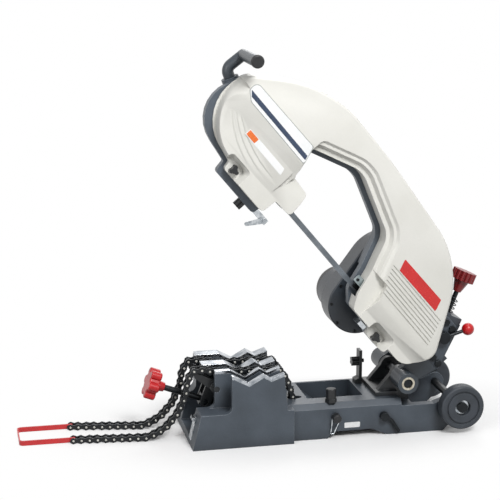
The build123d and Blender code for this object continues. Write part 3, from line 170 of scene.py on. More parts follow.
def finish(name, main, shade, edge_wear_and_highlight=None, *, patch, grain, rough, dent, edge, run=(1.0, 1.0, 1.0), fleck=0.06,
           metal=0.0, gloss=0.0, crevice_shade=0.0, nook=12.0):
    """A material with patches, a surface grain, rounded edges that catch light, and pale edges of wear and
    painted highlight on them.

    patch, grain, dent, edge and nook are millimetres, run stretches the grain along an axis, fleck is the
    share by which the grain lightens and darkens the colour, and crevice_shade the share of colour darkened in
    nooks as painted shade.
    """
    material = bpy.data.materials.new(name)
    material.use_nodes = True
    tree = material.node_tree
    shader = tree.nodes["Principled BSDF"]
    shader.inputs["Metallic"].default_value = metal
    shader.inputs["Coat Weight"].default_value = gloss
    shader.inputs["Coat Roughness"].default_value = COAT_ROUGHNESS
    place = add(tree, "ShaderNodeTexCoord").outputs["Object"]
    runs = add(tree, "ShaderNodeMapping", {"Vector": place, "Scale": run}).outputs[0]
    wide = add(tree, "ShaderNodeTexNoise", {"Vector": place, "Scale": 1 / (patch * MM), "Detail": 4.0})
    fine = add(tree, "ShaderNodeTexNoise", {"Vector": runs, "Scale": 1 / (grain * MM), "Detail": 3.0})
    grains = {"Value": fine.outputs["Fac"], "From Min": GRAIN_RANGE[0], "From Max": GRAIN_RANGE[1]}
    spread = add(tree, "ShaderNodeMapRange", {"Value": wide.outputs["Fac"], "From Min": PATCH_RANGE[0],
                                              "From Max": PATCH_RANGE[1]})
    tone = add(tree, "ShaderNodeMix", {0: spread.outputs[0], FIRST: shade, SECOND: main}, data_type="RGBA")
    speck = add(tree, "ShaderNodeMapRange", {**grains, "To Min": 1 - fleck, "To Max": 1 + fleck})
    ground = add(tree, "ShaderNodeVectorMath", {0: tone.outputs[MIXED], 1: speck.outputs[0]},
                 operation="MULTIPLY").outputs[0]
    rounded = add(tree, "ShaderNodeBevel", {"Radius": edge * MM}, samples=6)
    # pale edge colour: wear where a finish is rubbed through, painted highlight where it stands for light
    # caught on the arrises
    if edge_wear_and_highlight is not None:
        flat = add(tree, "ShaderNodeNewGeometry")
        bent = add(tree, "ShaderNodeVectorMath", {0: rounded.outputs[0], 1: flat.outputs["Normal"]},
                   operation="DOT_PRODUCT")
        edge_wear_and_highlight_share = add(tree, "ShaderNodeMapRange", {"Value": bent.outputs["Value"], "From Min": EDGE_WEAR_AND_HIGHLIGHT_RANGE[0],
                                               "From Max": EDGE_WEAR_AND_HIGHLIGHT_RANGE[1], "To Max": MOST_EDGE_WEAR_AND_HIGHLIGHT})
        patchy_edge_wear_and_highlight = add(tree, "ShaderNodeMath", {0: edge_wear_and_highlight_share.outputs[0], 1: spread.outputs[0]}, operation="MULTIPLY")
        ground = add(tree, "ShaderNodeMix", {0: patchy_edge_wear_and_highlight.outputs[0], FIRST: ground, SECOND: edge_wear_and_highlight},
                     data_type="RGBA").outputs[MIXED]
    # painted shade: ambient occlusion darkens the colour in nooks, creases and recesses
    if crevice_shade:
        open_share = add(tree, "ShaderNodeAmbientOcclusion", {"Distance": nook * MM}, samples=8).outputs["AO"]
        unshaded_share = add(tree, "ShaderNodeMapRange", {"Value": open_share, "From Min": NOOK_SHADE_RANGE[0],
                                                 "From Max": NOOK_SHADE_RANGE[1], "To Min": 1 - crevice_shade,
                                                 "To Max": 1.0})
        ground = add(tree, "ShaderNodeVectorMath", {0: ground, 1: unshaded_share.outputs[0]},
                     operation="MULTIPLY").outputs[0]
    dull = add(tree, "ShaderNodeMapRange", {**grains, "To Min": rough[0], "To Max": rough[1]})
    bump = add(tree, "ShaderNodeBump",
               {"Height": fine.outputs["Fac"], "Distance": dent * MM, "Normal": rounded.outputs[0]})
    tree.links.new(ground, shader.inputs["Base Color"])
    tree.links.new(dull.outputs[0], shader.inputs["Roughness"])
    tree.links.new(bump.outputs[0], shader.inputs["Normal"])
    return material


def dress(nodes, material):
    """Gives CAD nodes a finish."""
    for name in nodes.split():
        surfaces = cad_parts[name].data.materials
        surfaces.clear()
        surfaces.append(material)


def piece(name, mesh, material, body, sharp=35.0):
    """Makes an object of a finished bmesh, with smooth faces between sharp edges, riding on a body."""
    bmesh.ops.remove_doubles(mesh, verts=mesh.verts[:], dist=SAME_PLACE)
    bmesh.ops.recalc_face_normals(mesh, faces=mesh.faces[:])
    for face in mesh.faces:
        face.smooth = True
    data = bpy.data.meshes.new(name)
    mesh.to_mesh(data)
    mesh.free()
    data.set_sharp_from_angle(angle=math.radians(sharp))
    data.materials.append(material)
    made = bpy.data.objects.new(name, data)
    bpy.context.scene.collection.objects.link(made)
    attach(made, body)
    return made


def outline(mesh, corners, level, segments=8):
    """Adds a flat face at a level: corners of x, y and radius in millimetres, each rounded by its radius."""
    points = [mesh.verts.new((x * MM, y * MM, level * MM)) for x, y, _ in corners]
    mesh.faces.new(points)
    for index, (x, y, radius) in enumerate(corners):
        if radius:
            before = Vector(corners[index - 1][:2]) - Vector((x, y))
            after = Vector(corners[(index + 1) % len(corners)][:2]) - Vector((x, y))
            reach = radius * math.tan((math.pi - before.angle(after)) / 2)
            bmesh.ops.bevel(mesh, geom=[points[index]], offset=reach * MM, segments=segments, profile=0.5,
                            affect="VERTICES", material=-1)


def plate(place, corners, low, high, segments=8):
    """A closed plate of a rounded outline between two levels, carried to its place."""
    mesh = bmesh.new()
    outline(mesh, corners, low, segments)
    raised = bmesh.ops.extrude_face_region(mesh, geom=mesh.faces[:])["geom"]
    lifted = [part for part in raised if isinstance(part, bmesh.types.BMVert)]
    bmesh.ops.translate(mesh, vec=(0.0, 0.0, (high - low) * MM), verts=lifted)
    bmesh.ops.transform(mesh, matrix=place, verts=mesh.verts[:])
    bmesh.ops.recalc_face_normals(mesh, faces=mesh.faces[:])
    return mesh


def soft_plate(corners, low, high, rounding):
    """A closed plate in the head's level frame whose upper rim is rounded over."""
    mesh = plate(Matrix(), corners, low, high)
    rim = [edge for edge in mesh.edges if all(point.co.z > high * MM - SAME_PLACE for point in edge.verts)]
    bmesh.ops.bevel(mesh, geom=rim, offset=rounding * MM, segments=4, profile=0.5, affect="EDGES",
                    material=-1)
    return mesh


def loft(low_corners, low, high_corners, high):
    """A closed solid between two rounded outlines that have the same corners."""
    mesh = bmesh.new()
    outline(mesh, low_corners, low)
    outline(mesh, high_corners, high)
    bmesh.ops.bridge_loops(mesh, edges=mesh.edges[:])
    bmesh.ops.recalc_face_normals(mesh, faces=mesh.faces[:])
    return mesh


def box(low, high):
    """A closed block between two corners in the head's level frame."""
    (u0, v0, n0), (u1, v1, n1) = low, high
    return plate(Matrix(), [(u0, v0, 0), (u1, v0, 0), (u1, v1, 0), (u0, v1, 0)], n0, n1)


def drum(place, radius, low, high, sides=32):
    """A closed round block on the axis of its place."""
    mesh = bmesh.new()
    middle = Matrix.Translation((0.0, 0.0, (low + high) / 2 * MM))
    bmesh.ops.create_cone(mesh, cap_ends=True, segments=sides, radius1=radius * MM, radius2=radius * MM,
                          depth=(high - low) * MM, matrix=place @ middle)
    return mesh


def carve(base, steps):
    """Joins or cuts closed meshes one after another, and gives back one mesh."""
    work = []
    for mesh in (base, *(tool for _, tool in steps)):
        data = bpy.data.meshes.new("work")
        mesh.to_mesh(data)
        mesh.free()
        work.append(bpy.data.objects.new("work", data))
        bpy.context.scene.collection.objects.link(work[-1])
    for (mode, _), tool in zip(steps, work[1:]):
        change = work[0].modifiers.new("change", "BOOLEAN")
        change.operation = mode
        change.object = tool
        change.solver = "EXACT"
    whole = bpy.data.meshes.new_from_object(work[0].evaluated_get(bpy.context.evaluated_depsgraph_get()))
    made = bmesh.new()
    made.from_mesh(whole)
    # an object goes with its mesh
    for used in work:
        bpy.data.meshes.remove(used.data)
    bpy.data.meshes.remove(whole)
    return made


def cap_screw(mesh, place, radius, height, key):
    """A socket-head screw on its place: rings bridged from its foot to the floor of its hexagon."""
    head_sides, key_sides, chamfer, key_floor = 24, 6, 0.4, height * 0.4
    rings = (
        (head_sides, radius, 0.0), (head_sides, radius, height - chamfer),
        (head_sides, radius - chamfer, height), (key_sides, key, height), (key_sides, key, key_floor),
    )
    loops = []
    for index, (count, reach, level) in enumerate(rings):
        points = bmesh.ops.create_circle(
            mesh, cap_ends=index in (0, len(rings) - 1), segments=count, radius=reach * MM,
            matrix=place @ Matrix.Translation((0.0, 0.0, level * MM)))["verts"]
        loops.append(list({edge for point in points for edge in point.link_edges}))
    for low, high in zip(loops, loops[1:]):
        bmesh.ops.bridge_loops(mesh, edges=low + high)


class SAW_OT_castings(bpy.types.Operator):
    """Gives the grey pieces their stove enamel, and adds the gear case screws and the bed film"""

    bl_idname = "saw.castings"
    bl_label = "Castings"

    def execute(self, context):
        sizes, colours = context.scene.saw_sizes, context.scene.saw_colours
        # Stove enamel on sand-cast aluminium: satin blue-grey with a pebble of 2.5 mm, bright arrises of wear
        # and painted highlight, and painted shade in its nooks
        enamel = finish("stove_enamel_casting", colours.casting, colours.casting_shade, linear("#9AA3AC"),
                        patch=70.0, grain=2.5, rough=(0.36, 0.50), dent=0.06, edge=1.8, fleck=0.08,
                        crevice_shade=0.75, nook=40.0)
        dress("bed bracket_plate", enamel)
        # The same enamel on bent tube and on the pivot arm: smoother and darker, with painted shade in its
        # nooks
        tube = finish("stove_enamel_tube", linear("#3C434A"), linear("#30363C"), linear("#7F8890"),
                      patch=50.0, grain=2.5, rough=(0.30, 0.42), dent=0.03, edge=1.2, fleck=0.06,
                      crevice_shade=0.6, nook=25.0)
        dress("handle pivot_arm", tube)
        # The same enamel on the die-cast drive housings: smoother, darker still, with soft arrises
        smooth = finish("stove_enamel_die_casting", linear("#31373E"), linear("#272C32"), linear("#6C757D"),
                        patch=50.0, grain=3.0, rough=(0.32, 0.42), dent=0.03, edge=1.6, fleck=0.05)
        dress("gear_case motor_housing", smooth)
        # Black enamel on the steel that lies between the bed walls: near black, partly its paint and partly
        # painted shade of that space, with painted highlight on its edges
        black = finish("black_enamel_painted_shade_steel", linear("#1A1D20"), linear("#121416"), linear("#4A5056"),
                       patch=30.0, grain=2.0, rough=(0.34, 0.46), dent=0.02, edge=1.0, fleck=0.05)
        dress("pivot_stand stop_plate hook_lever bumper_nut", black)
        # Blackened screw steel, on the screws that close the gear case: nearly black, with glints on the rims
        screws = finish("black_screw_steel", linear("#191B1D"), linear("#101214"), linear("#686E73"),
                        patch=5.0, grain=1.0, rough=(0.28, 0.40), dent=0.01, edge=0.3, metal=0.5)
        mesh = bmesh.new()
        motor, screw_ring, case_face = (-158.0, 29.5), 54.0, -5.0
        for turn in (90, 135, 180, 225, 270, 315):
            place = on_head(*polar(motor, screw_ring, turn), case_face)
            cap_screw(mesh, place, radius=3.0, height=2.2, key=1.5)
        piece("gear_case_screws", mesh, screws, "head")
        # Bare polyester film on the bed's near side: flat white with a soft sheen
        white = finish("bare_film_white", colours.film_white, linear("#EAECEC"),
                       patch=30.0, grain=5.0, rough=(0.22, 0.32), dent=0.0, edge=0.2, fleck=0.01)
        near_wall = 80.0
        corners = [(196, 20, 1.5), (228, 20, 1.5), (228, 31, 1.5), (196, 31, 1.5)]
        mesh = plate(BED_SIDE, corners, near_wall, near_wall + sizes.film / MM, segments=3)
        piece("bed_film", mesh, white, "base")
        return {"FINISHED"}


class SAW_OT_vise(bpy.types.Operator):
    """Finishes the jaws, the vise screw, the plated and blackened steel and the red knobs"""

    bl_idname = "saw.vise"
    bl_label = "Vise"

    def execute(self, context):
        colours = context.scene.saw_colours
        # Hardened jaw steel: ground bright, with darker streaks along the jaw as painted reflection, and
        # crests made brighter by wear and painted highlight
        jaw = finish("ground_jaw_steel", linear("#C3C7CC"), linear("#8B9198"), linear("#F0F2F3"),
                     patch=16.0, grain=1.6, run=(0.25, 1.0, 1.0), rough=(0.18, 0.30), dent=0.02, edge=1.2,
                     metal=1.0)
        dress("outer_jaw inner_jaw middle_jaw rear_jaw", jaw)
        # Bright zinc plate: pale, with darker clouds that are painted reflection
        zinc = finish("bright_zinc_plate", linear("#D5D9DC"), linear("#8F969C"), linear("#F2F4F5"),
                      patch=10.0, grain=2.0, rough=(0.16, 0.28), dent=0.01, edge=0.6, metal=1.0)
        dress("catch_plate wheel_washers jaw_screws pin_bail latch_hook latch_bar stop_lug", zinc)
        # Black oxide on machined steel: nearly black with an oily sheen
        oxide = finish("black_oxide_steel", linear("#1E2225"), linear("#131619"), linear("#5A6066"),
                       patch=18.0, grain=1.5, rough=(0.26, 0.40), dent=0.01, edge=0.7, metal=0.6)
        dress("vise_screw vise_nut side_lever lock_lever feed_screw axle pivot_shaft tension_slide "
              "upper_guide lower_guide guide_pads bracket_bolts", oxide)
        # Red phenolic, pressed glossy: an even red with a clear highlight, and painted shade in its hollows
        red = finish("red_phenolic", colours.knob_red, linear("#B70C14"),
                     patch=20.0, grain=3.0, rough=(0.30, 0.40), dent=0.01, edge=1.6, gloss=0.12, fleck=0.02,
                     crevice_shade=0.3)
        dress("vise_knob lever_ball", red)
        # Dark red phenolic on the feed knob: duller, with painted shade in its flutes
        dark_red = finish("dark_red_phenolic", colours.feed_red, linear("#7A161B"),
                          patch=16.0, grain=3.0, rough=(0.32, 0.42), dent=0.01, edge=1.2, gloss=0.1,
                          fleck=0.03, crevice_shade=0.4)
        dress("feed_knob", dark_red)
        return {"FINISHED"}


# Vise chains, in millimetres: pitch, half the width over the outer plates, and where they pass the hook.
CHAIN_PITCH, CHAIN_OUTER, CHAIN_HOOK = 15.875, 9.15, -97.0
# Their route in its upright plane, from the keyhole over the jaws and the hook to the floor.
CHAIN_ROUTE = [(106, 60), (96, 98), (88, 116.9), (74, 135.9), (50, 134.9), (-44, 134.9), (-85, 142.6),
               (-101, 140.6), (-111, 117), (-114, 90), (-131, 53), (-155, 24), (-187, 6.6), (-348, 6.6)]
# Name of each chain's rivets, its place towards the near side, and its drift from the hook to the floor end.
CHAINS = (("front_chain_rivets", 23.5, 26.0), ("rear_chain_rivets", -41.5, 42.0))
RIVET_TAPER = 0.75


def chain_pins(near_place, drift):
    """Pin centres one pitch apart along the chain route."""
    slope = drift / (CHAIN_HOOK - CHAIN_ROUTE[-1][0])
    corners = [Vector((x, -near_place + slope * max(0.0, CHAIN_HOOK - x), z)) for x, z in CHAIN_ROUTE]
    pins = [corners[0]]
    for start, end in zip(corners, corners[1:]):
        run = (end - start).normalized()
        while (end - pins[-1]).length >= CHAIN_PITCH:
            gap = start - pins[-1]
            reach = math.sqrt(gap.dot(run) ** 2 - gap.length_squared + CHAIN_PITCH**2) - gap.dot(run)
            pins.append(start + run * reach)
    # an odd number of pins, so that inner and outer links come in pairs
    return pins[: len(pins) - (len(pins) + 1) % 2]


class SAW_OT_chains(bpy.types.Operator):
    """Finishes the vise chains, rivets their pins and paints the strip handle"""

    bl_idname = "saw.chains"
    bl_label = "Chains"

    def execute(self, context):
        sizes, colours = context.scene.saw_sizes, context.scene.saw_colours
        # Oiled chain steel: blue-black plates that shine along their edges
        oiled = finish("oiled_chain_steel", linear("#171B1F"), linear("#0E1114"), linear("#3D464D"),
                       patch=10.0, grain=1.5, rough=(0.24, 0.36), dent=0.01, edge=0.8, metal=0.3)
        dress("front_chain rear_chain", oiled)
        # Bare steel pin ends, peened over: small pale dots, made paler than bare steel as painted highlight
        bare = finish("peened_pin_steel", linear("#DAD9D2"), linear("#BDBCB4"),
                      patch=6.0, grain=1.0, rough=(0.25, 0.40), dent=0.01, edge=0.3, metal=0.4)
        for name, near_place, drift in CHAINS:
            mesh = bmesh.new()
            for pin in chain_pins(near_place, drift):
                for side in (1, -1):
                    middle = pin * MM + Vector((0.0, side * (CHAIN_OUTER * MM + sizes.rivet_rise / 2), 0.0))
                    bmesh.ops.create_cone(
                        mesh, cap_ends=True, segments=12, radius1=sizes.rivet_radius,
                        radius2=sizes.rivet_radius * RIVET_TAPER, depth=sizes.rivet_rise,
                        matrix=Matrix.Translation(middle) @ Matrix.Rotation(-side * math.pi / 2, 4, "X"))
            piece(name, mesh, bare, "base")
        # Red gloss paint on strip steel: bright and even, rubbed to the metal at its edges
        strip = finish("red_gloss_paint", colours.strip_red, linear("#C8262A"), linear("#B9BDC0"),
                       patch=14.0, grain=2.5, rough=(0.25, 0.35), dent=0.01, edge=0.5, gloss=0.3, fleck=0.02)
        dress("chain_handle", strip)
        return {"FINISHED"}


# Saw head, in millimetres of its level frame: wheel centres, levels of frame and cover, sole and arch.
IDLER, DRIVE = (-583.0, 123.5), (-155.0, 123.5)
FRAME_BACK, FRAME_FLOOR, SPLIT, LOW_FACE, FACE = 42.0, 50.0, 60.0, 94.0, 112.0
SOLE = 13.5
ARCH = [(-497.0, 153.0), (-396.0, 199.0), (-264.0, 157.0), (-230.0, 84.0)]
PEAK_ROUND, SHOULDER_ROUND = 50.0, 40.0
ARCH_MIDDLE = -393.0
# How far a cutting or joining mesh reaches past a face, so that no two faces coincide.
PAST = 1.0


def grown(amount):
    """Corners of the arch moved out into the head by an amount."""
    ways = [(Vector(b) - Vector(a)).normalized() for a, b in zip(ARCH, ARCH[1:])]
    sides = [Vector((-way.y, way.x)) for way in ways]
    moved = []
    for index, corner in enumerate(ARCH):
        before, after = sides[max(index - 1, 0)], sides[min(index, len(sides) - 1)]
        moved.append(tuple(Vector(corner) + (before + after) * amount / (1 + before.dot(after))))
    return moved


def arch_foot(edge):
    """Point below the last corner of a grown arch, on its way to the sole."""
    return (edge[3][0] + 15, edge[3][1] - 45)


def band(inner, outer):
    """Corners of a strip of even width along the arch."""
    inside, outside = grown(inner), grown(outer)
    rounds = (2, PEAK_ROUND, SHOULDER_ROUND, 2)
    near = [(*corner, rounding) for corner, rounding in zip(inside, rounds)]
    far = [(*corner, rounding + outer) for corner, rounding in zip(outside, rounds)]
    return near + far[::-1]


def back(reach, inset, wall, end_round):
    """Corners of the head's back, from its round end over the crest to the heel."""
    return [
        # round end beside the idler wheel
        (*polar(IDLER, reach / math.cos(math.radians(44)), 216), end_round),
        # crest
        (*polar(IDLER, 103 - inset, 164), 25),
        (-566 + 0.3 * inset, 254 - inset, 220 - 2 * inset),
        (-372, 252.5 - inset, 900),
        # slope over the drive wheel, and the heel
        (-124 - wall, 233 - wall, 170),
        (-11 - wall, 72, 28),
    ]


def head_corners(flange, inset):
    """Corners of the bow round both band wheels, with the arch over the work."""
    edge, tuck = grown(-0.7 * flange), 0.3 * flange
    box_u, box_v = -574 - tuck, SOLE - 10.5 - flange
    return [
        # guard beside the blade
        (*edge[0], 8), (-478, 93 - tuck, 8), (-431 - tuck, 90 - tuck, 8), (-424 - tuck, 38, 8), (-465, 36, 4),
        # box of the upper cover knob
        (-467, box_v, 8), (box_u, box_v, 7), (box_u - 4, SOLE + 6 - flange / 2, 4),
        *back(100 + flange, inset, 0, 88 - flange),
        # sole with the tab of the lower cover knob
        (-40, SOLE, 30), (-88, SOLE, 3), (-88, SOLE - 12, 6), (-130, SOLE - 12, 6), (-142, SOLE, 4),
        (-197, SOLE, 10),
        # arch
        (*arch_foot(edge), 20), (*edge[3], 20), (*edge[2], SHOULDER_ROUND), (*edge[1], PEAK_ROUND),
    ]


def wheel_room(low, high):
    """Room for both band wheels and the upper run of the blade, clear of the arch."""
    ceiling, floor = grown(4), SOLE + 4
    corners = [
        (*ceiling[0], 5), (-521, 138.5, 10), (-548, 65.5, 10), (-580, 37.5, 10), *back(84, 16, 5, 70),
        (-39, floor + 20, 20), (-75, floor, 10), (-185, floor, 8),
        (*ceiling[3], 5), (*ceiling[2], SHOULDER_ROUND), (*ceiling[1], PEAK_ROUND),
    ]
    return plate(Matrix(), corners, low, high)


class SAW_OT_frame(bpy.types.Operator):
    """Casts the head's frame: plate with a rim, hollow spine along the arch, boss and handle socket"""

    bl_idname = "saw.frame"
    bl_label = "Frame"

    def execute(self, context):
        flange, inset, spine_web = 14, 4, 7
        boss_radius, socket_radius, tube_radius = 28, 17, 11
        handle_foot, handle_lean = (-666, 118, 28), math.radians(19)
        handle_way = Vector((-math.cos(handle_lean), math.sin(handle_lean), 0.0))
        socket = level_place(*handle_foot) @ handle_way.to_track_quat("Z", "Y").to_matrix().to_4x4()
        steps = [
            ("DIFFERENCE", wheel_room(FRAME_FLOOR, SPLIT + PAST)),
            # hollow spine along the arch
            ("UNION", plate(Matrix(), band(2, 24), 0, FRAME_BACK + PAST)),
            ("DIFFERENCE", plate(Matrix(), band(8, 18), -PAST, FRAME_BACK - spine_web)),
            # bearing boss of the drive shaft
            ("UNION", drum(level_place(*DRIVE), boss_radius, -5, FRAME_BACK + PAST)),
            # socket of the handle tube
            ("UNION", drum(socket, socket_radius, -20, 24)),
            ("DIFFERENCE", drum(socket, tube_radius, -4, 26)),
            # block that carries the tension knob
            ("UNION", box((-502, -4, 24), (-482, 33.5, FRAME_BACK + PAST))),
        ]
        mesh = carve(plate(Matrix(), head_corners(flange, inset), FRAME_BACK, SPLIT), steps)
        bmesh.ops.transform(mesh, matrix=HEAD, verts=mesh.verts[:])
        # Stove enamel on sand-cast aluminium, as on the bed, but made lighter all over as painted light on the
        # frame; painted shade darkens its nooks
        enamel = finish("stove_enamel_frame_painted_light", linear("#565E67"), linear("#4A525B"), linear("#A3ABB3"),
                        patch=70.0, grain=2.5, rough=(0.34, 0.46), dent=0.05, edge=1.6, fleck=0.06, crevice_shade=0.6)
        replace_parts(piece("cast_head_frame", mesh, enamel, "head"), "head_frame")
        return {"FINISHED"}


# Cover, in the same millimetres: label face over the idler wheel, knobs, and the inner room over the wheels.
LABEL_CORNER, LABEL_ROUND, SLOPE_RUN = (-641.0, 141.0), 23.0, 34.0
KNOB_PLACES = [(-561.0, 15.5), (-115.0, 11.5)]
TAB_FACE = 74.0
ROOM_TOP, WHEEL_ROOM_RADIUS, IDLER_TRAVEL = 86.0, 82.5, 6.0
# Terraces under the small panel: each is a wide arc from its upper left to its lower right end.
PANEL_TOP, TERRACE_RISE = 100.5, 2
TERRACES = [
    [(-663, 93, 0), (-588.7, 13.5, 178.2), (-484, 43, 0), (-486, PANEL_TOP, 0), (-663, PANEL_TOP, 0)],
    [(-653.5, 94.5, 0), (-579.8, 29.2, 189), (-484, 52, 0), (-486, PANEL_TOP, 0), (-653.5, PANEL_TOP, 0)],
    [(-644, 96, 0), (-571.2, 45.5, 214), (-484, 61, 0), (-486, PANEL_TOP, 0), (-644, PANEL_TOP, 0)],
]
PANEL = LOW_FACE + TERRACE_RISE * len(TERRACES)


def label_slope(level):
    """Corners of the cut over the idler wheel at a level: it grows up the slope to the label face's edge."""
    radius = LABEL_ROUND + (FACE - level) * SLOPE_RUN / (FACE - LOW_FACE)
    u, v = LABEL_CORNER[0] - radius, LABEL_CORNER[1] - radius
    # from the label corner it runs on past the cover's outline
    left, bottom, top, lean = -900, -90, 300, 100
    return [(ARCH_MIDDLE, v, 0), (ARCH_MIDDLE, bottom, 0), (left, bottom, 0), (left, top, 0),
            (u - lean, top, 0), (u, v, radius)]


def skirt():
    """Ring that rounds the outer edge of the idler end."""
    first_angle, swept_angle = math.radians(172), math.radians(94)
    # reach from the idler's axis, level and rounding of each corner
    profile = [(101, 62, 0), (99, 101, 26), (76, 114, 0), (150, 114, 0), (150, 62, 0)]
    mesh = bmesh.new()
    outline(mesh, profile, 0)
    bmesh.ops.transform(mesh, matrix=Matrix.Rotation(math.pi / 2, 4, "X"), verts=mesh.verts[:])
    bmesh.ops.spin(mesh, geom=mesh.verts[:] + mesh.edges[:] + mesh.faces[:], cent=(0.0, 0.0, 0.0),
                   axis=(0.0, 0.0, 1.0), angle=swept_angle, steps=28)
    bmesh.ops.transform(mesh, matrix=level_place(*IDLER) @ Matrix.Rotation(first_angle, 4, "Z"),
                        verts=mesh.verts[:])
    bmesh.ops.recalc_face_normals(mesh, faces=mesh.faces[:])
    return mesh


def ledge(width):
    """Corners of the strip beside the arch that is stepped down, ended square over the label face."""
    edge, left = grown(width), ARCH[0][0] - 1
    climb = (edge[1][1] - edge[0][1]) / (edge[1][0] - edge[0][0])
    return [
        (left, edge[0][1] + (left - edge[0][0]) * climb, 12), (*edge[1], PEAK_ROUND + width),
        (*edge[2], SHOULDER_ROUND + width), (*edge[3], 4), (*arch_foot(edge), 2), (ARCH_MIDDLE, SOLE, 2),
        (left, 145, 2),
    ]


def terrace(corners, shift):
    """Corners of a terrace whose curved edge is moved in by a shift."""
    (u, v, _), (bend_u, bend_v, radius), (end_u, end_v, _), upper, _ = corners
    bend_share = 0.6
    return [(u + shift, v, 0), (bend_u + bend_share * shift, bend_v + shift, radius),
            (end_u, end_v + shift, 0), upper, (u + shift, PANEL_TOP, 0)]


def face_steps():
    """Cuts and joins that shape the outside of the cover, in their order."""
    over = FACE + PAST
    steps = [("DIFFERENCE", loft(label_slope(LOW_FACE), LOW_FACE, label_slope(over), over)),
             ("DIFFERENCE", skirt())]
    # terraces that rise to the small panel, each with a sloping edge
    edge_lean = 3
    for index, corners in enumerate(TERRACES):
        level = LOW_FACE + TERRACE_RISE * index
        steps.append(("UNION", loft(terrace(corners, -edge_lean), level - TERRACE_RISE,
                                    terrace(corners, edge_lean), level + TERRACE_RISE)))
    # fold of the guard, ledges along the arch, box of the lower guide, slope over the sole
    fold = [(70, 94.6, 0), (98, 83, 0), (98, FACE, 0), (70, FACE, 0)]
    nose = [(-250, 93, 0), (-194, 93, 0), (-181, 64, 0), (-179, 0, 0), (-250, 0, 0)]
    sole_slope = [(57.5, FACE + 0.5, 0), (31.5, 100, 6), (-15, 100, 0), (-15, FACE + 0.5, 0)]
    return steps + [
        ("DIFFERENCE", plate(ALONG_U, fold, -476, -410)),
        ("DIFFERENCE", loft(ledge(19), 107, ledge(25), over)),
        ("DIFFERENCE", loft(ledge(8), 98, ledge(17), over)),
        ("DIFFERENCE", plate(Matrix(), nose, 97, over)),
        ("DIFFERENCE", plate(ALONG_U, sole_slope, -181, 20)),
    ]


def knob_pocket(u, v, flare):
    """Corners of the pocket round a cover knob, wider by a flare on three sides."""
    left, right, top, bottom = u - 24 - flare, u + 17 + flare, v + 13 + flare, v - 16
    return [(left, bottom, 0), (right, bottom, 0), (right, top, 9), (left, top, 9)]


def room_steps():
    """Cuts and joins that make room in the cover, in their order."""
    under = SPLIT - PAST
    steps = [("DIFFERENCE", wheel_room(under, ROOM_TOP))]
    for u, v in (IDLER, (IDLER[0] + IDLER_TRAVEL, IDLER[1]), DRIVE):
        steps.append(("DIFFERENCE", drum(level_place(u, v), WHEEL_ROOM_RADIUS, under, ROOM_TOP, sides=64)))
    # tabs with the holes and flared pockets of the two knobs
    hole_radius, hole_top, flare = 3.3, 80, 14
    for u, v in KNOB_PLACES:
        if v < SOLE:
            # the lower pocket reaches into the wheel room, so it gets a wall
            steps.append(("UNION", box((u - 33, SOLE + 1, SPLIT), (u + 26, v + 21, 92))))
        steps += [
            ("UNION", box((u - 13, v - 6, SPLIT), (u + 13, v + 14, TAB_FACE))),
            ("DIFFERENCE", loft(knob_pocket(u, v, 0), TAB_FACE, knob_pocket(u, v, flare), FACE + PAST)),
            ("DIFFERENCE", drum(level_place(u, v), hole_radius, under, hole_top, sides=16)),
        ]
    # grooves over the drive wheel, each a little nearer to the idler than the one below
    grooves, spacing, half_width, groove_depth = 8, 7, 1.1, 1.5
    for index in range(grooves):
        v = 78 + spacing * index
        start, end = -193 - 3.28 * index, -42 - 3.0 * index
        steps.append(("DIFFERENCE", box((start, v - half_width, FACE - groove_depth),
                                        (end, v + half_width, FACE + PAST))))
    # ways of the blade and of both guides
    return steps + [
        ("DIFFERENCE", box((-568, 33.5, under), (-195, 58.5, 82))),
        ("DIFFERENCE", box((-460, 33.5, under), (-440, 67.5, 88))),
        ("DIFFERENCE", box((-232, 33.5, under), (-209, 67.5, 88))),
    ]


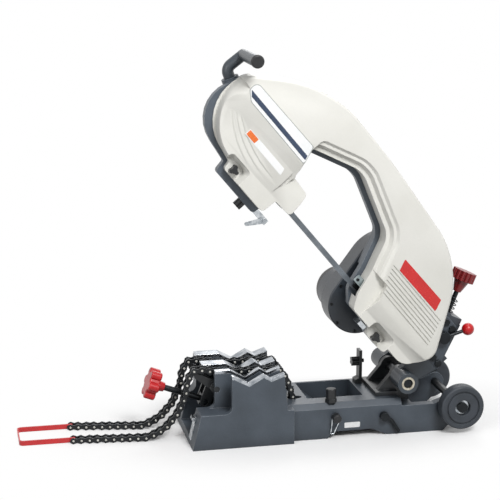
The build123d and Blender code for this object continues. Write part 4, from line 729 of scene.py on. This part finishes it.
class SAW_OT_cover(bpy.types.Operator):
    """Moulds the cover and lays its bare label films and stripes on it"""

    bl_idname = "saw.cover"
    bl_label = "Cover"

    def execute(self, context):
        sizes, colours = context.scene.saw_sizes, context.scene.saw_colours
        # Off-white moulded ABS: a fine spark-eroded grain, drawn at 3 mm so that it shows, with painted shade
        # in its creases and grooves
        shell = finish("moulded_abs_cover", colours.cover, colours.cover_shade,
                       patch=120.0, grain=3.0, rough=(0.36, 0.44), dent=0.008, edge=1.5, fleck=0.008,
                       crevice_shade=0.22, nook=14.0)
        rim_round = 5
        mesh = carve(soft_plate(head_corners(0, 0), SPLIT, FACE, rim_round), face_steps() + room_steps())
        bmesh.ops.transform(mesh, matrix=HEAD, verts=mesh.verts[:])
        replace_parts(piece("moulded_cover", mesh, shell, "cover"), "cover")
        # Printed polyester film: flat colour with a soft sheen, and faint handling marks
        white, grey, navy, orange, red = (
            finish(f"printed_film_{name}", main, shade, patch=30.0, grain=5.0, rough=(0.20, 0.30),
                   dent=0.0, edge=0.2, fleck=0.01)
            for name, main, shade in (("white", colours.film_white, linear("#F8FAFA")),
                                      ("grey", linear("#B9BCB9"), linear("#B2B5B2")),
                                      ("navy", colours.film_navy, linear("#34425A")),
                                      ("orange", colours.film_orange, linear("#EC7636")),
                                      ("red", colours.film_red, linear("#CB2A2A"))))
        # each film: its name, ink, the level that carries it, its layer there and its corners
        films = (
            ("label_edge", grey, FACE, 1,
             [(-665.5, 147, 9), (-659, 153.5, 8), (-500.5, 156.5, 5), (-487, 120, 4), (-645, 120, 9),
              (-665.5, 133, 8)]),
            ("label_band", white, FACE, 2,
             [(-664, 146, 9), (-658, 152, 8), (-502, 155, 5), (-489, 121.5, 4), (-645, 121.5, 9),
              (-664, 134, 8)]),
            ("label_stripe", navy, FACE, 3,
             [(-661.5, 136, 0.5), (-496, 136, 0.5), (-493, 127.5, 0.5), (-652, 127.5, 0.5)]),
            ("small_label", orange, PANEL, 2,
             [(-603, 76, 1), (-579, 76, 1), (-579, 87, 1), (-603, 87, 1)]),
            ("label_strip", white, PANEL, 1,
             [(-604.5, 74.5, 1), (-499, 74.5, 2), (-503, 88, 2), (-604.5, 88, 1)]),
            ("side_stripe", red, FACE, 1,
             [(-210, 152.5, 2), (-96, 155, 2), (-86, 132, 2), (-200, 130, 2)]),
        )
        film = sizes.film / MM
        for name, ink, level, layer, corners in films:
            low = level + (layer - 1) * film
            piece(name, plate(HEAD, corners, low, low + film), ink, "cover")
        return {"FINISHED"}


class SAW_OT_blade(bpy.types.Operator):
    """Finishes the blade, sets its teeth along the open run and plates the lower guide"""

    bl_idname = "saw.blade"
    bl_label = "Blade"

    def execute(self, context):
        sizes = context.scene.saw_sizes
        # Rolled spring steel: grey, with lines along the rolling
        steel = finish("rolled_spring_steel", linear("#7B8187"), linear("#5C6268"), linear("#B9BEC2"),
                       patch=40.0, grain=1.2, rough=(0.26, 0.40), dent=0.01, edge=0.2, metal=0.85)
        dress("blade", steel)
        start, end, line, middle, thick = -424.0, -241.0, 40.1, 67.5, 0.6
        pitch, depth = sizes.tooth_pitch / MM, sizes.tooth_depth / MM
        # shares of the pitch at which a tooth has its tip and its heel, short of the next tooth
        tip, heel = 0.35, 0.97
        tooth = [(start, line, 0), (start + pitch * tip, line - depth, 0), (start + pitch * heel, line, 0)]
        mesh = plate(Matrix(), tooth, middle - thick / 2, middle + thick / 2)
        bmesh.ops.spin(mesh, geom=mesh.verts[:] + mesh.edges[:] + mesh.faces[:], angle=0.0,
                       axis=(0.0, 0.0, 1.0), cent=(0.0, 0.0, 0.0), dvec=(sizes.tooth_pitch, 0.0, 0.0),
                       use_duplicate=True, steps=int((end - start) / pitch) - 1)
        bmesh.ops.transform(mesh, matrix=HEAD, verts=mesh.verts[:])
        piece("blade_teeth", mesh, steel, "head", sharp=20.0)
        # Zinc-plated wear plate on the lower guide: pale grey-green, slightly cloudy
        zinc = finish("zinc_wear_plate", linear("#A9B4B5"), linear("#7F8B8D"), linear("#E4E8E8"),
                      patch=14.0, grain=2.0, rough=(0.22, 0.34), dent=0.01, edge=0.5, metal=0.8)
        plate_low, plate_high = 84.0, 86.0
        corners = [(-239, 52, 0.8), (-213, 52, 0.8), (-213, 67, 0.8), (-239, 67, 0.8)]
        piece("guide_plate", plate(HEAD, corners, plate_low, plate_high, segments=2), zinc, "head")
        # Black oxide on the wear plate's socket screw: nearly black with an oily sheen
        oxide = finish("black_guide_screw", linear("#1E2225"), linear("#131619"), linear("#5A6066"),
                       patch=6.0, grain=1.0, rough=(0.26, 0.40), dent=0.01, edge=0.4, metal=0.6)
        mesh = bmesh.new()
        cap_screw(mesh, on_head(-233.0, 58.5, plate_high), radius=3.2, height=2.0, key=1.7)
        piece("guide_screw", mesh, oxide, "head")
        return {"FINISHED"}


class SAW_OT_feed_spring(bpy.types.Operator):
    """Winds the feed spring"""

    bl_idname = "saw.feed_spring"
    bl_label = "Feed spring"

    def execute(self, context):
        sizes = context.scene.saw_sizes
        # Black phosphated spring wire: dark grey with a dull sheen
        wire = finish("phosphated_spring_wire", linear("#33373B"), linear("#22262A"), linear("#767C81"),
                      patch=8.0, grain=1.0, rough=(0.30, 0.45), dent=0.01, edge=0.3, metal=0.7)
        feed_lean = math.radians(27.4)
        feed_way = math.cos(feed_lean) * AWAY - math.sin(feed_lean) * ALONG
        foot = HEAD @ (Vector((-19.0, 160.0, 4.0)) * MM)
        radius, rise, pitch, turns = 9.5, 1.25, 8.0, 4
        section = Matrix.Translation((radius * MM, 0.0, rise * MM)) @ Matrix.Rotation(math.pi / 2, 4, "X")
        mesh = bmesh.new()
        ring = bmesh.ops.create_circle(mesh, cap_ends=True, segments=10, radius=sizes.wire_radius,
                                       matrix=section)["verts"]
        bmesh.ops.spin(mesh, geom=ring + mesh.edges[:] + mesh.faces[:], cent=(0.0, 0.0, 0.0),
                       axis=(0.0, 0.0, 1.0), angle=2 * math.pi * turns, steps=sizes.coil_steps * turns,
                       dvec=(0.0, 0.0, pitch * MM / sizes.coil_steps))
        place = basis(foot, NEAR, feed_way.cross(NEAR), feed_way)
        bmesh.ops.transform(mesh, matrix=place, verts=mesh.verts[:])
        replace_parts(piece("wound_feed_spring", mesh, wire, "head"), "feed_spring")
        return {"FINISHED"}


class SAW_OT_black_parts(bpy.types.Operator):
    """Finishes the black plastic, the rubber and the inner drive pieces"""

    bl_idname = "saw.black_parts"
    bl_label = "Black parts and drive"

    def execute(self, context):
        # Black glass-filled nylon: matt with a faint swirl
        nylon = finish("black_nylon", linear("#1B1C1E"), linear("#131416"), linear("#3E4144"),
                       patch=14.0, grain=2.0, rough=(0.34, 0.46), dent=0.02, edge=0.8)
        dress("lock_pin stop_knob upper_cover_knob lower_cover_knob tension_knob handle_cap motor_end_cap "
              "cord_gland bumper", nylon)
        # Turned aluminium: bright grey with a fine, uneven sheen
        turned = finish("turned_aluminium", linear("#C6C9CC"), linear("#A8ACB0"),
                        patch=20.0, grain=1.4, rough=(0.22, 0.36), dent=0.01, edge=0.5, metal=0.95)
        dress("idler_wheel drive_wheel drive_shaft drive_gear armature", turned)
        # Sintered bearing bronze: pale gold, porous
        bronze = finish("bearing_bronze", linear("#CBC5B6"), linear("#A79F8D"),
                        patch=6.0, grain=1.2, rough=(0.28, 0.42), dent=0.02, edge=0.5, metal=0.85)
        dress("pivot_bushes", bronze)
        # Solid rubber tyre: dark grey, dusty in patches
        tyre = finish("solid_tyre_rubber", linear("#373C43"), linear("#2D3238"), linear("#555C63"),
                      patch=30.0, grain=2.5, rough=(0.50, 0.66), dent=0.04, edge=1.5)
        dress("near_wheel far_wheel", tyre)
        return {"FINISHED"}


# Distances from the saw between which the floor runs out to plain white, on its stretched coordinates.
WHITE_RANGE = (0.22, 0.48)
# Strength of the surrounding light on the saw, and as it is seen.
SKY_LIGHT, SKY_SEEN = 0.22, 1.0
# Each lamp: its name, place, size and power.
LAMPS = (("key_lamp", (0.7, -2.6, 2.7), 1.1, 96.0), ("fill_lamp", (-2.6, -2.0, 1.6), 1.8, 34.0),
         ("top_lamp", (0.6, 0.0, 3.2), 1.6, 14.0), ("rear_lamp", (1.2, 2.6, 2.0), 1.8, 24.0))
LAMP_AIM = Vector((0.08, 0.0, 0.35))
CAMERA_PLACE, CAMERA_WAY = (-0.5751, -2.8054, 1.0355), (0.20258, 0.95308, -0.22495)


def aimed(way):
    """Turn of a lamp or camera that looks along a way."""
    return way.to_track_quat("-Z", "Y").to_euler()


def seen_share(tree):
    """1 where a surface is seen direct, in gloss or through glass, and 0 where it only throws light."""
    ray = add(tree, "ShaderNodeLightPath").outputs
    seen = add(tree, "ShaderNodeMath", {0: ray["Is Camera Ray"], 1: ray["Is Glossy Ray"]},
               operation="MAXIMUM")
    return add(tree, "ShaderNodeMath", {0: seen.outputs[0], 1: ray["Is Transmission Ray"]},
               operation="MAXIMUM").outputs[0]


class SAW_OT_stage(bpy.types.Operator):
    """Lays the pale floor, and sets the soft lamps and the camera"""

    bl_idname = "saw.stage"
    bl_label = "Stage"

    def execute(self, context):
        scene = context.scene
        scene.view_settings.view_transform = "Standard"
        mesh = bmesh.new()
        bmesh.ops.create_grid(mesh, x_segments=1, y_segments=1, size=30.0)
        data = bpy.data.meshes.new("floor")
        mesh.to_mesh(data)
        mesh.free()
        floor = bpy.data.objects.new("floor", data)
        scene.collection.objects.link(floor)
        # Studio paper: white, matt, keeps the shadow near the saw and runs out to plain white
        paper = bpy.data.materials.new("studio_paper")
        paper.use_nodes = True
        tree = paper.node_tree
        sheet = tree.nodes["Principled BSDF"]
        sheet.inputs["Roughness"].default_value = 0.9
        place = add(tree, "ShaderNodeTexCoord").outputs["Object"]
        near = add(tree, "ShaderNodeMapping",
                   {"Vector": place, "Location": (-0.12, -0.02, 0.0), "Scale": (0.75, 1.5, 1.0)})
        reach = add(tree, "ShaderNodeVectorMath", {0: near.outputs[0]}, operation="LENGTH")
        far = add(tree, "ShaderNodeMapRange",
                  {"Value": reach.outputs["Value"], "From Min": WHITE_RANGE[0], "From Max": WHITE_RANGE[1]},
                  interpolation_type="SMOOTHSTEP").outputs[0]
        seen = seen_share(tree)
        # seen direct it is white; the light that it throws back up under the saw is that of a grey cloth
        tint = add(tree, "ShaderNodeMix", {0: seen, FIRST: linear("#7A7A7A"), SECOND: linear("#FBFBFB")},
                   data_type="RGBA")
        tree.links.new(tint.outputs[MIXED], sheet.inputs["Base Color"])
        share = add(tree, "ShaderNodeMath", {0: far, 1: seen}, operation="MULTIPLY")
        white = add(tree, "ShaderNodeEmission", {"Color": linear("#FFFFFF"), "Strength": 1.0})
        both = add(tree, "ShaderNodeMixShader",
                   {0: share.outputs[0], 1: sheet.outputs[0], 2: white.outputs[0]})
        tree.links.new(both.outputs[0], tree.nodes["Material Output"].inputs["Surface"])
        data.materials.append(paper)

        world = bpy.data.worlds.new("studio")
        scene.world = world
        world.use_nodes = True
        tree = world.node_tree
        sky = tree.nodes["Background"]
        sky.inputs["Color"].default_value = linear("#FFFFFF")
        power = add(tree, "ShaderNodeMapRange",
                    {"Value": seen_share(tree), "To Min": SKY_LIGHT, "To Max": SKY_SEEN})
        tree.links.new(power.outputs[0], sky.inputs["Strength"])

        for name, spot, size, energy in LAMPS:
            lamp = bpy.data.lights.new(name, "AREA")
            lamp.size = size
            lamp.energy = energy
            hung = bpy.data.objects.new(name, lamp)
            hung.location = spot
            hung.rotation_euler = aimed(LAMP_AIM - Vector(spot))
            scene.collection.objects.link(hung)

        eye = bpy.data.cameras.new("photo_camera")
        eye.lens = 108.0
        eye.sensor_width = 36.0
        camera = bpy.data.objects.new("photo_camera", eye)
        camera.location = CAMERA_PLACE
        camera.rotation_euler = aimed(Vector(CAMERA_WAY))
        scene.collection.objects.link(camera)
        scene.camera = camera
        return {"FINISHED"}


OPERATORS = (
    SAW_OT_stage, SAW_OT_castings, SAW_OT_frame, SAW_OT_cover, SAW_OT_vise, SAW_OT_chains, SAW_OT_blade,
    SAW_OT_feed_spring, SAW_OT_black_parts,
)


class SAW_PT_panel(bpy.types.Panel):
    """Lists the steps that dress the saw"""

    bl_idname = "SAW_PT_panel"
    bl_label = "Band saw"
    bl_space_type = "VIEW_3D"
    bl_region_type = "UI"
    bl_category = "Band saw"

    def draw(self, context):
        for step in OPERATORS:
            self.layout.operator(step.bl_idname)
        for group in (context.scene.saw_colours, context.scene.saw_sizes):
            for name in group.bl_rna.properties.keys():
                if name not in ("rna_type", "name"):
                    self.layout.prop(group, name)


CLASSES = (SawColours, SawSizes, *OPERATORS, SAW_PT_panel)


def register():
    """Registers the classes and hangs the settings on the scene."""
    for made in CLASSES:
        bpy.utils.register_class(made)
    bpy.types.Scene.saw_colours = PointerProperty(type=SawColours)
    bpy.types.Scene.saw_sizes = PointerProperty(type=SawSizes)


def unregister():
    """Takes the settings and classes away again."""
    del bpy.types.Scene.saw_sizes
    del bpy.types.Scene.saw_colours
    for made in reversed(CLASSES):
        bpy.utils.unregister_class(made)


def main():
    """Dresses the saw in order."""
    register()
    for step in OPERATORS:
        group, name = step.bl_idname.split(".")
        getattr(getattr(bpy.ops, group), name)()
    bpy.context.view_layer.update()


if __name__ == "__main__":
    main()
